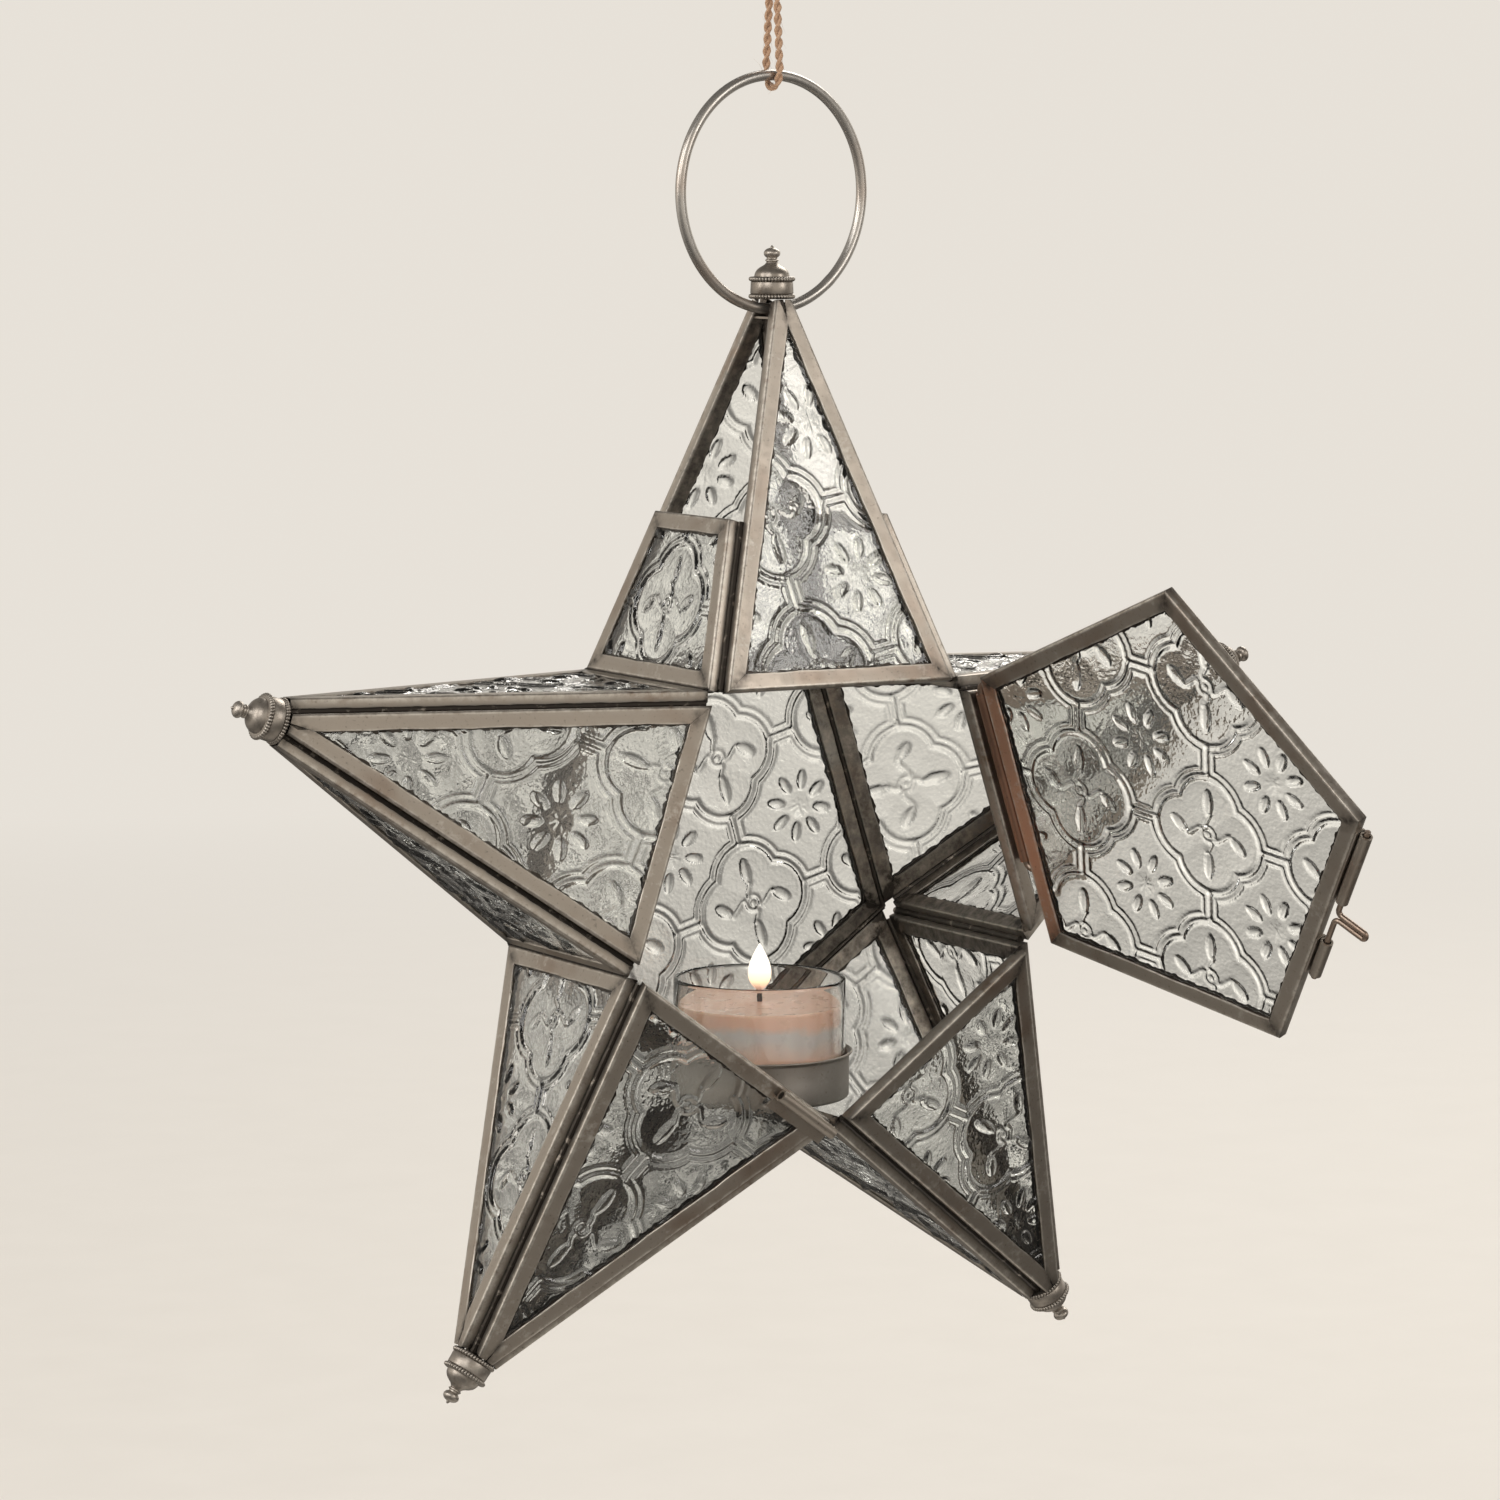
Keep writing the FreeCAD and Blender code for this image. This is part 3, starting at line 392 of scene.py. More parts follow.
def old_metal(name, plain, rubbed, stained, grime_and_shade_tone, roughness, wear, height):
    """Metal with rubbed folds, stains, dark specks and dark mitres, from four tones of red, green and blue.
    The darkest tone is also painted shade inside the star, along the lips and on the seams.
    """
    material, tree, shader, coordinates = finish_material(name)
    fold, joint_and_shade, copper = [node(tree, "Attribute", attribute_name=key).outputs["Fac"]
                           for key in ("fold", "joint_and_shade", "copper")]
    mask = node(tree, "Group", {"Vector": coordinates, "Fold": fold, "Joint_and_shade": joint_and_shade, "Wear": wear},
                node_tree=tarnish_and_shade).outputs
    colour = mixed(tree, mask["Stain"], shade(*plain), shade(*stained))
    colour = mixed(tree, maths(tree, "MULTIPLY", copper, PLATING_SHARE), colour, PLATING)
    colour = mixed(tree, mask["Worn"], colour, shade(*rubbed))
    # The darkest tone: grime, and painted shade where the points carry it
    colour = mixed(tree, mask["Grime_and_shade"], colour, shade(*grime_and_shade_tone))
    tree.links.new(colour, shader.inputs["Base Color"])
    rough = ramp(tree, mask["Height"], 0.4, 1.2, roughness - 0.1, roughness + 0.12)
    tree.links.new(rough, shader.inputs["Roughness"])
    shader.inputs["Metallic"].default_value = 0.9
    roughen(tree, shader, mask["Height"], 0.5, height)
    return material


tin = old_metal("folded_tin", (0.32, 0.28, 0.238), (0.62, 0.58, 0.52), (0.22, 0.16, 0.12),
                (0.045, 0.038, 0.032), roughness=0.38, wear=0.75, height=0.00006)
dish_tin = old_metal("dish_tin", (0.36, 0.33, 0.30), (0.58, 0.55, 0.51), (0.27, 0.22, 0.18),
                     (0.14, 0.12, 0.10), roughness=0.48, wear=0.5, height=0.00004)
nickel = old_metal("ring_nickel", (0.44, 0.415, 0.385), (0.56, 0.54, 0.51), (0.34, 0.27, 0.22),
                   (0.20, 0.16, 0.13), roughness=0.30, wear=0.4, height=0.00001)
cast_metal = old_metal("turned_metal", (0.30, 0.265, 0.23), (0.52, 0.48, 0.43), (0.16, 0.13, 0.105),
                       (0.03, 0.026, 0.022), roughness=0.36, wear=0.7, height=0.00005)
copper_wire = old_metal("coppered_wire", (0.29, 0.225, 0.18), (0.50, 0.43, 0.36), (0.25, 0.155, 0.11),
                        (0.10, 0.07, 0.055), roughness=0.34, wear=0.6, height=0.00002)
copper_tin = old_metal("coppered_tin", (0.34, 0.19, 0.13), (0.54, 0.37, 0.27), (0.22, 0.13, 0.09),
                       (0.05, 0.035, 0.028), roughness=0.36, wear=0.6, height=0.00004)
print("metals:", tin.name, dish_tin.name, nickel.name, cast_metal.name, copper_wire.name, copper_tin.name)

# %% [markdown]
# ## Clear finishes
# The lattice is real relief, so the glass needs only its pits, ripples and smears as a bump. Light that is
# bent by glass on its way from a lamp is slow to render. So shadow rays meet a plain transparent shader
# instead, mixed in by the Light Path node, which stays in the material itself.

# %% Glass finishes
stipple, takes, gives = shared_effect("stipple", [("Vector", VECTOR, None)],
                                      [("Height", FLOAT), ("Smear", FLOAT)])
pits = node(stipple, "TexVoronoi", {"Vector": takes["Vector"], "Scale": 1100.0}).outputs["Distance"]
waves = noise(stipple, takes["Vector"], 160.0, 2.0)
ripple = maths(stipple, "ADD", waves, noise(stipple, takes["Vector"], 620.0, 2.0))
stipple.links.new(maths(stipple, "ADD", maths(stipple, "MULTIPLY", pits, 0.35), ripple), gives["Height"])
stipple.links.new(ramp(stipple, noise(stipple, takes["Vector"], 45.0, 5.0), 0.45, 0.75), gives["Smear"])
SHADOW_TINT = shade(0.86, 0.88, 0.87)


def clear_material(name, tint, roughness, smear, height):
    """Clear glass or plastic that lets lamps' light pass on shadow rays."""
    material, tree, shader, coordinates = finish_material(name)
    effect = node(tree, "Group", {"Vector": coordinates}, node_tree=stipple).outputs
    shader.inputs["Base Color"].default_value = tint
    shader.inputs["Transmission Weight"].default_value = 1.0
    shader.inputs["IOR"].default_value = 1.5
    rough = ramp(tree, effect["Smear"], 0.0, 1.0, roughness, roughness + smear)
    tree.links.new(rough, shader.inputs["Roughness"])
    roughen(tree, shader, effect["Height"], 1.0, height)
    shadow = node(tree, "LightPath").outputs["Is Shadow Ray"]
    through = node(tree, "BsdfTransparent", {"Color": SHADOW_TINT})
    blend = node(tree, "MixShader", {0: shadow, 1: shader.outputs[0], 2: through.outputs[0]})
    tree.links.new(blend.outputs[0], tree.nodes["Material Output"].inputs["Surface"])
    return material


pressed_glass = clear_material("pressed_glass", shade(0.95, 0.96, 0.945), 0.01, smear=0.06, height=0.00008)
clear_cup = clear_material("clear_cup", shade(0.97, 0.97, 0.96), 0.01, smear=0.03, height=0.000004)
print("clear finishes:", pressed_glass.name, clear_cup.name)

# %% [markdown]
# ## Twine
# The lantern hangs by a thin two-ply twine, passed round the ring and knotted above the picture. Something
# outside the picture holds it taut, so its two runs are nearly straight and draw together at the knot. The
# route is one smooth spline. Two plies wind round points read from it, and loose fibres stand off them.

# %% Twine's route
TWINE = 0.9
PLY_PITCH = 5.2
KNOT_FOOT = 23.0
MILLIMETRE = 0.001
across_ring = np.array([-math.sin(RING_YAW), math.cos(RING_YAW), 0.0])
along_ring = np.array([math.cos(RING_YAW), math.sin(RING_YAW), 0.0])
ring_top = UP * HANG_HEIGHT + UP * RING_WIRE
TWINE_ROUTE = ((-0.95, KNOT_FOOT), (-1.9, 8.6), (-2.6, -2.65), (2.6, -2.65), (1.9, 8.6), (0.95, KNOT_FOOT))


def beside_ring(sideways, upward):
    """Point in the plane across the ring's top wire, in star millimetres."""
    return ring_top + across_ring * sideways + UP * upward


def spline_points(name, points):
    """Points along a smooth spline through the plane of its control points, read back from a curve."""
    curve = bpy.data.curves.new(name, "CURVE")
    curve.dimensions = "3D"
    curve.resolution_u = 24
    spline = curve.splines.new("NURBS")
    spline.points.add(len(points) - 1)
    spline.points.foreach_set("co", np.concatenate([points, np.ones((len(points), 1))], 1).reshape(-1))
    spline.order_u = 3
    spline.use_endpoint_u = True
    carrier = bpy.data.objects.new(name, curve)
    line = bpy.data.meshes.new_from_object(carrier)
    found = np.empty(len(line.vertices) * 3, np.float32)
    line.vertices.foreach_get("co", found)
    bpy.data.objects.remove(carrier)
    bpy.data.meshes.remove(line)
    return found.reshape(-1, 3).astype(float)


def evenly(points, step):
    """The same line with even steps: each coordinate interpolated over the length run so far."""
    run = np.concatenate([[0], np.cumsum(np.linalg.norm(np.diff(points, axis=0), axis=1))])
    even = np.linspace(0, run[-1], max(int(run[-1] / step), 2) + 1)
    return np.stack([np.interp(even, run, points[:, axis]) for axis in range(3)], 1), even


route = row_metres(np.array([beside_ring(*pair) for pair in TWINE_ROUTE]))
twine_line, twine_run = evenly(spline_points("twine_route", route), 0.0002)
print("twine:", round(twine_run[-1], 4), "m on its spline")

# %% Plies and fibres


def plies(line, run, reference, radius, count=2, sides=12):
    """Plies round a line: centre = line + half the radius times (cos, sin) of 2 pi run / pitch, in the plane
    across it, and round each centre a circle of half the radius. The turn is counted from the reference."""
    tangent = unit(np.gradient(line, axis=0))
    first = unit(reference - (tangent @ reference)[:, None] * tangent)
    second = np.cross(tangent, first)
    around = np.linspace(0, 2 * np.pi, sides, endpoint=False)
    made = []
    for ply in range(count):
        phase = 2 * np.pi * (run / (PLY_PITCH * MILLIMETRE) + ply / count)
        lumps = 1 + 0.07 * np.sin(run * 2100 + 3 * ply) + 0.05 * np.sin(run * 5300 + ply)
        centre = line + circle(radius * 0.5, phase, first, second)
        reach = radius * 0.53 * lumps[:, None]
        rings = circle(reach, phase[:, None] + around, first[:, None], second[:, None])
        made.append(loft(centre[:, None] + rings))
    return made


def fibres(line, radius, count, reach, seed):
    """Loose fibres: short three-sided arcs that leave the twine at seeded places and curl away."""
    dice = np.random.default_rng(seed)
    tangent = unit(np.gradient(line, axis=0))
    angles = np.linspace(0, 2 * np.pi, 3, endpoint=False)
    t = np.linspace(0, 1, 6)[:, None]
    thin = 0.04 * MILLIMETRE * (1.1 - t)
    made = []
    for _ in range(count):
        at = dice.integers(8, len(line) - 8)
        way = tangent[at] * dice.choice([-1, 1])
        side = unit(np.cross(way, dice.normal(size=3)))
        length = dice.uniform(0.4, 1.0) * reach
        curl = side * (t ** 2) * length * dice.uniform(0.1, 0.6)
        spine = line[at] + side * radius * 0.8 + way * t * length + curl
        made.append(loft(spine[:, None] + circle(thin, angles, side, np.cross(way, side))))
    return made


print("plies and fibres ready")

# %% Finish of the twine
fibre_colour, tree, shader, coordinates = finish_material("laid_twine")
strand = node(tree, "TexCoord").outputs["UV"]
stretch = node(tree, "Mapping", {"Vector": strand, "Scale": (30.0, 5.0, 1.0)}).outputs["Vector"]
lay = noise(tree, stretch, 3.0, 4.0, 0.7)
patch = noise(tree, coordinates, 260.0, 3.0)
colour = mixed(tree, ramp(tree, lay, 0.35, 0.7), shade(0.30, 0.155, 0.085), shade(0.62, 0.42, 0.27))
colour = mixed(tree, ramp(tree, patch, 0.45, 0.7, 0.0, 0.5), colour, shade(0.42, 0.25, 0.15))
tree.links.new(colour, shader.inputs["Base Color"])
shader.inputs["Roughness"].default_value = 0.85
shader.inputs["Sheen Weight"].default_value = 0.3
roughen(tree, shader, lay, 0.8, 0.00012)
print("twine finish:", len(tree.nodes), "nodes")

# %% Twine round the ring
shells = plies(twine_line, twine_run, along_ring, TWINE * MILLIMETRE)
shells += fibres(twine_line, TWINE * MILLIMETRE, count=60, reach=4 * MILLIMETRE, seed=11)
twine = make_piece("twine", shells, fibre_colour, "hanger", ["twine_loop"], 80)
print("twine faces:", len(twine.data.polygons))

# %% Knot
# A binding of three turns over the two runs, and the two cut ends above it
KNOT_HEIGHT, TAIL = 6.0, 8.0
BINDING_TURNS, BINDING_RADIUS = 3, 2.85
BINDING_STRAND, TAIL_STRAND = 0.95 * MILLIMETRE, 0.88 * MILLIMETRE
share = np.linspace(0, 1, 160)
angle = 2 * np.pi * BINDING_TURNS * share
level = KNOT_FOOT + 1 + share * (KNOT_HEIGHT - 2)
binding = circle(BINDING_RADIUS, angle, along_ring, across_ring)
binding, binding_run = evenly(row_metres(ring_top + binding + level[:, None] * UP), 0.0003)
knot_shells = plies(binding, binding_run, UP, BINDING_STRAND)
for side in (-1, 1):
    lean = np.linspace(0, 1, 60)
    tail = ring_top + across_ring * (side * (0.95 + 0.25 * lean ** 2))[:, None]
    tail = tail + UP * (KNOT_FOOT + lean * (KNOT_HEIGHT + TAIL - 0.5))[:, None]
    tail, tail_run = evenly(row_metres(tail), 0.0003)
    knot_shells += plies(tail, tail_run, along_ring, TAIL_STRAND)
knot_shells += fibres(binding, TWINE * MILLIMETRE, count=16, reach=TWINE * MILLIMETRE, seed=12)
knot = make_piece("knot", knot_shells, fibre_colour, "hanger", ["twine_knot"], 80)
print("knot faces:", len(knot.data.polygons))

# %% [markdown]
# ## Hanging ring
# A piece of round wire is bent to a ring and its ends are butted together and soldered. The formula is a
# torus whose radius and wire vary by a few hundredths, with a small swelling at the join.

# %% Ring
JOIN_AT = 5.4
EYE_SINK = 2.2


def ring_surface():
    """Torus: centre + (R + r cos v)(cos u, sin u) in the ring's plane + r sin v across it.
    R carries slow sines, and r a narrow bulge where the ends of the wire meet."""
    u = np.linspace(0, 2 * np.pi, 220, endpoint=False)[:, None]
    v = np.linspace(0, 2 * np.pi, 20, endpoint=False)[None, :]
    bow = RING_RADIUS + 0.06 * np.sin(2 * u + 0.6) + 0.04 * np.sin(3 * u)
    bulge = 0.10 * np.exp(-((u - JOIN_AT) / 0.03) ** 2) - 0.05 * np.exp(-((u - JOIN_AT) / 0.008) ** 2)
    wire = RING_WIRE + bulge
    reach = bow + wire * np.cos(v)
    middle = UP * (ARM_CUT - EYE_SINK + RING_RADIUS)
    return middle + circle(reach, u, along_ring, UP) + (wire * np.sin(v))[..., None] * across_ring


rings = row_metres(ring_surface())
rows, columns = rings.shape[:2]
quads, corner_rows, corner_columns = grid(rows + 1, columns, True)
quads = quads % (rows * columns)
ring_uv = np.stack([corner_rows / rows, corner_columns / columns], -1)
bare = np.zeros(rows * columns)
ring_shell = {"points": rings.reshape(-1, 3), "faces": [quads], "uv": [ring_uv], "fold": bare, "joint_and_shade": bare}
hanging_ring = make_piece("ring", [ring_shell], nickel, "hanger", ["hanging_ring"])
print("ring faces:", len(hanging_ring.data.polygons))

# %% [markdown]
# ## Frames of folded channel
# A tinsmith folds a strip to a channel, cuts its ends to a mitre and solders the corners round the pane.
# The channel's profile is one closed line, carried along each edge of the pane's outline and cut at the
# mitre. Its folds are small arcs, its free edges wander a little, and the faces are not quite flat, as hand
# work is.

# %% Channel profile


def channel_profile(reach):
    """Closed line round the section: both faces, the web with its two folded corners, and the slot.
    Columns: distance from the outer edge, height, nearness to a fold, share of the edge's wander."""
    half, bend, inner = THICKNESS / 2, 0.55, SHEET - 0.05
    arc = np.radians([0, 22, 45, 68, 90])
    top = [(reach, half - inner, 0.3, 1), (reach, half - 0.14, 0.9, 1), (reach - 0.12, half, 0.9, 1),
           (reach - 0.5, half, 0.1, 0.6), (reach / 2, half, 0.0, 0), (bend + 0.3, half, 0.15, 0)]
    top += [(bend - bend * math.sin(a), half - bend + bend * math.cos(a), 0.95, 0) for a in arc]
    bottom = [(u, -w, fold, stray) for u, w, fold, stray in top[::-1]]
    slot = [(inner, -half + inner, 0, 0), (inner, half - inner, 0, 0)]
    return np.array(top + [(0, 0, 0.1, 0)] + bottom + slot)


print("profile of", len(channel_profile(CHANNEL_FACE)), "points")

# %% Bars, mitres and painted lip shade
MITRE_PLAY = 0.03
BAR_STEP, LIP_SHADE_STEP = 3.5, 0.7
# How dark soot with painted shade inside the star is, and the painted lip shade and the seams, on the
# scale on which the darkness at a mitre is 1
SOOT_AND_INNER_SHADE, SEAM_AND_LIP_SHADE = 0.8, 3.0


def wander(along, seed):
    """Slow unevenness: three sines of unlike lengths with seeded phases."""
    phases = np.random.default_rng(seed).uniform(0, 2 * np.pi, 3)
    lengths, heights = (24.0, 11.0, 5.2), (0.5, 0.35, 0.22)
    return sum(h * np.sin(2 * np.pi * along / length + p) for length, h, p in zip(lengths, heights, phases))


def half_cotangent(before, corner, after):
    """Cotangent of half the angle at a corner, which is how fast a mitre eats into a bar."""
    one, other = before - corner, after - corner
    cosine = one @ other / np.linalg.norm(one) / np.linalg.norm(other)
    return 1 / math.tan(math.acos(cosine) / 2)


def mitred_edges(corners, cut, u, play=0.0):
    """For each edge of an outline: its start, unit way, inward unit and length, and the first and last place
    along it at each distance u inward, where mitres end it, or the level at which the frame is cut off."""
    corners = np.asarray(corners, float)
    for index, start in enumerate(corners):
        end, after = corners[(index + 1) % len(corners)], corners[(index + 2) % len(corners)]
        length = np.linalg.norm(end - start)
        way = (end - start) / length
        inward = np.array([-way[1], way[0]])
        first = u * half_cotangent(corners[index - 1], start, end) + play
        last = length - u * half_cotangent(start, end, after) - play
        if cut is not None and abs(way[1]) > 0.1:
            level = (cut - start[1] - inward[1] * u) / way[1]
            first = np.maximum(first, level) if way[1] < 0 else first
            last = np.minimum(last, level) if way[1] > 0 else last
        yield start, way, inward, length, first, last


def channel_bars(corners, seed, cut, soot_and_shade, reach=CHANNEL_FACE):
    """A bar for each edge: point = corner + way * t + inward * u + normal * w, with t from mitre to mitre.
    Soot and painted shade darken the side that faces the candle, inside the star."""
    u, w, fold, stray = channel_profile(reach).T
    bars = []
    edges = mitred_edges(corners, cut, u, MITRE_PLAY)
    for index, (start, way, inward, length, first, last) in enumerate(edges):
        f = np.linspace(0, 1, max(int(length / BAR_STEP), 8))[:, None]
        t = first + f * (last - first)
        lip = u + stray * 0.16 * wander(t, seed * 7 + index)
        height = w * (1 + 0.03 * wander(t, seed * 11 + index) * u / reach)
        flat = start + way * t[..., None] + inward * lip[..., None]
        # Dark near the mitres, and darker on the inner side from soot and painted shade
        joint_and_shade = np.exp(-np.minimum(t - first, last - t) / 1.1) + soot_and_shade * (w < 0)
        bars.append((np.concatenate([flat, height[..., None]], -1), fold, joint_and_shade))
    return bars


def lip_shade_strips(corners, seed, cut, reach=CHANNEL_FACE):
    """Painted shade along the lips, on both faces of the glass: a dark flat strip whose free edge is jagged.
    Point = corner + way * t + inward * (reach + width), the width a sum of quick sines with seeded phases."""
    under = np.array([reach - 0.5, reach - 0.5, reach, reach])
    free = np.array([0, 0, 1, 1])
    skin = np.array([-0.2, 0.02, 0.02, -0.2])
    strips = []
    for index, (start, way, inward, length, first, last) in enumerate(mitred_edges(corners, cut, reach)):
        t = np.linspace(first, last, max(int(length / LIP_SHADE_STEP), 12))[:, None]
        jag = 0.42 + 0.30 * wander(t * 6, seed + index) + 0.22 * wander(t * 2, seed + index + 50)
        u = under + free * np.clip(jag, 0.08, 1.1)
        flat = start + way * t[..., None] + inward * u[..., None]
        for side in (-1, 1):
            w = np.broadcast_to(side * (GLASS / 2 + skin), u.shape)
            strips.append(np.concatenate([flat, w[..., None]], -1))
    return strips


print("bar, mitre and cement helpers ready")

# %% Outlines, and frames set in the star


def face_corners(half_base, slant, inset, low, high=None):
    """Outline of an arm's face with its long edges moved in, up to its apex or to a level."""
    def half_width(level):
        return half_base * (1 - level / slant) - inset * EDGE / slant
    corners = [(-half_width(low), low), (half_width(low), low)]
    if high is None:
        return corners + [(0, slant - inset * EDGE / half_base)]
    return corners + [(half_width(high), high), (-half_width(high), high)]


def pentagon_corners(radius):
    """Five corners, one pointing down."""
    angles = np.radians(126 + 72 * np.arange(5))
    return np.stack([radius * np.cos(angles), radius * np.sin(angles)], 1)


def set_in_star(shell_points, place):
    """Local points to the row's metres, through the open door's turn where the place says so."""
    origin, across, upward, on_door = place
    points = seat(shell_points, origin, across, upward)
    return row_metres(swing_open(points) if on_door else points)


def channel_frame(name, corners, place, body, seed, cut=None, coppered=None):
    """One frame: its bars set in the star, standing for the plain solid of the same name."""
    # Soot and painted shade on the inner side, but none on the door's frame
    bars = channel_bars(corners, seed, cut, soot_and_shade=0.0 if place[3] else SOOT_AND_INNER_SHADE)
    shells = [loft(set_in_star(rings, place), fold, joint_and_shade) for rings, fold, joint_and_shade in bars]
    if coppered is not None:
        shells[coppered]["copper"] = np.ones(len(shells[coppered]["points"]))
    # Dark strips of painted shade along the lips of the window
    shells += [loft(set_in_star(rings, place), 0.0, SEAM_AND_LIP_SHADE) for rings in lip_shade_strips(corners, seed, cut)]
    return make_piece(name, shells, tin, body, [name + "_frame"])


print("outline and frame helpers ready")

# %% [markdown]
# ## Panes of pressed glass
# The glass is rolled against a die, so one side is flat and the other carries a raised lattice. The lattice
# repeats every 35.5 mm: a four-lobed figure drawn with a strong line and a thin one, a leafy cross in it,
# and eight seeds round a small star where four figures meet. It is real relief, so it bends light as glass
# does. The height is one formula on a grid of points, and each pane is cut from the sheet at its own turn
# and place.

# %% Relief of the glass
PATTERN_PITCH = 35.5
LOBE_OUT, LOBE_RADIUS = 6.0, 8.0
THIN_LINE = 1.75
SEED_OUT = 6.1
RELIEF = 1.15
FLAT = GLASS / 2 - 0.03


def ridge(distance, width):
    """Rounded ridge: a bell curve of the distance to its middle line."""
    return np.exp(-(distance / width) ** 2)


def seed_shape(x, y, middle, turn_by, long_half, short_half):
    """Domed ellipse: the square root of one minus the squared distance in the ellipse's own axes."""
    c, s = math.cos(turn_by), math.sin(turn_by)
    a, b = x - middle[0], y - middle[1]
    inside = 1 - ((a * c + b * s) / long_half) ** 2 - ((b * c - a * s) / short_half) ** 2
    return np.sqrt(np.clip(inside, 0, 1))


def lattice_height(x, y):
    """Height in millimetres over the flat of the sheet, at pattern coordinates in millimetres."""
    p = PATTERN_PITCH
    a = x - p * np.round(x / p)
    b = y - p * np.round(y / p)
    m, n = np.abs(a), np.abs(b)
    # Strong line round the four lobes, and a thin one beside it that runs on along the link
    outline = np.minimum(np.hypot(m - LOBE_OUT, n), np.hypot(m, n - LOBE_OUT)) - LOBE_RADIUS
    link = np.minimum(m, n)
    joined = np.minimum(outline, link)
    height = 0.52 * ridge(outline, 0.62) + 0.36 * ridge(joined - THIN_LINE, 0.45)
    height += 0.50 * ridge(link, 0.6) * np.clip(outline / 0.5, 0, 1)
    pillow = np.clip(-(outline + 1.5) / 4.5, 0, 1)
    height += 0.22 * np.sqrt(pillow) * (1 - 0.7 * ridge(np.hypot(m, n), 3.0))
    # Middle ring and dot, S-shaped ribs, and a drop in each lobe
    middle = np.hypot(a, b)
    height += 0.34 * ridge(middle - 1.7, 0.5) + 0.40 * seed_shape(a, b, (0, 0), 0, 0.9, 0.9)
    rib = (n > 1.7) * (n < 5.0) * ridge(a - 0.8 * np.sin(b * 0.8), 0.6)
    rib += (m > 1.7) * (m < 6.4) * ridge(b - 1.1 * np.sin(a * 0.8), 0.6)
    height += 0.32 * rib
    height += 0.58 * seed_shape(a, n, (0, 7.6), math.pi / 2, 3.4, 1.35)
    height += 0.52 * seed_shape(m, b * np.sign(a), (7.9, 0.6), 0.7, 2.7, 1.4)
    # Eight drops round a small star in the field between four figures
    gap_x, gap_y = p / 2 - m, p / 2 - n
    for turn_by in (math.radians(22.5), math.radians(67.5)):
        out = (SEED_OUT * math.cos(turn_by), SEED_OUT * math.sin(turn_by))
        height += 0.56 * seed_shape(gap_x, gap_y, out, turn_by, 2.4, 1.2)
    spoke = np.abs(np.sin(4 * np.arctan2(gap_y, gap_x)))
    height += 0.42 * np.clip(1 - np.hypot(gap_x, gap_y) / 3.0, 0, 1) * (1 - 0.6 * spoke)
    return height


def edge_distance(x, y, corners):
    """Distance inward from the nearest edge of a convex outline."""
    corners = np.asarray(corners, float)
    nearest = np.full(x.shape, np.inf)
    for start, end in zip(corners, np.roll(corners, -1, axis=0)):
        way = unit(end - start)
        nearest = np.minimum(nearest, (y - start[1]) * way[0] - (x - start[0]) * way[1])
    return nearest


def pane_surface(x, y, window, sheet_cut):
    """Face of a pane: the flat of the glass plus the lattice, which dies away before the tin covers it."""
    turn_by, shift = math.radians(sheet_cut[0]), sheet_cut[1:]
    c, s = math.cos(turn_by), math.sin(turn_by)
    a, b = x - shift[0], y - shift[1]
    fade = np.clip((edge_distance(x, y, window) + 0.3) / 0.8, 0, 1)
    pattern = lattice_height(c * a + s * b, c * b - s * a)
    return np.stack([x, y, FLAT + RELIEF * pattern * fade * fade * (3 - 2 * fade)], -1)


middle_height = lattice_height(np.zeros(1), np.zeros(1))[0]
print("lattice height at the middle of a figure:", round(float(middle_height), 3), "mm")

# %% [markdown]
# ## Panes cut from the sheet
# A pane is a closed body: its patterned face, a flat back and a rim. It could be cut out of one large relief
# with a Boolean, which is slow and leaves ragged triangles. Here the grid has the pane's own shape, with
# ruled rows on the arms and rings about the middle on the pentagons, and the height is read at each point.

# %% Panes


def closed_pane(face, boundary, front):
    """Shell of a pane: its patterned face, a flat back on the same outline, and the rim between them."""
    rim = face[boundary]
    back = rim * [1, 1, 0] - [0, 0, FLAT]
    count = len(boundary)
    here = np.arange(count)
    after = np.roll(here, -1)
    walls = np.stack([boundary, boundary[after], len(face) + after, len(face) + here], 1)
    points = np.concatenate([face, back])
    faces = list(front) + [walls, (len(face) + here)[None, :]]
    blank = np.zeros(len(points))
    uv = [points[polygons][..., :2] * MILLIMETRE for polygons in faces]
    return {"points": points, "faces": faces, "uv": uv, "fold": blank, "joint_and_shade": blank}


def ruled_pane(corners, window, sheet_cut, step):
    """Pane between two long edges: x = share of the half width at level y, on even rows and columns."""
    (_, low), (half_low, _), (half_high, high) = corners[0], corners[1], corners[2]
    rows = int((high - low) / step) + 2
    columns = int(2 * half_low / step) + 2
    v = np.linspace(0, 1, rows)[:, None]
    s = np.linspace(-1, 1, columns)[None, :]
    x = s * (half_low + (half_high - half_low) * v)
    y = low + (high - low) * v + 0 * s
    face = pane_surface(x, y, window, sheet_cut).reshape(-1, 3)
    quads, _, _ = grid(rows, columns, False)
    index = np.arange(rows * columns).reshape(rows, columns)
    boundary = np.concatenate([index[0, :], index[1:, -1], index[-1, -2::-1], index[-2:0:-1, 0]])
    return closed_pane(face, boundary, [quads])


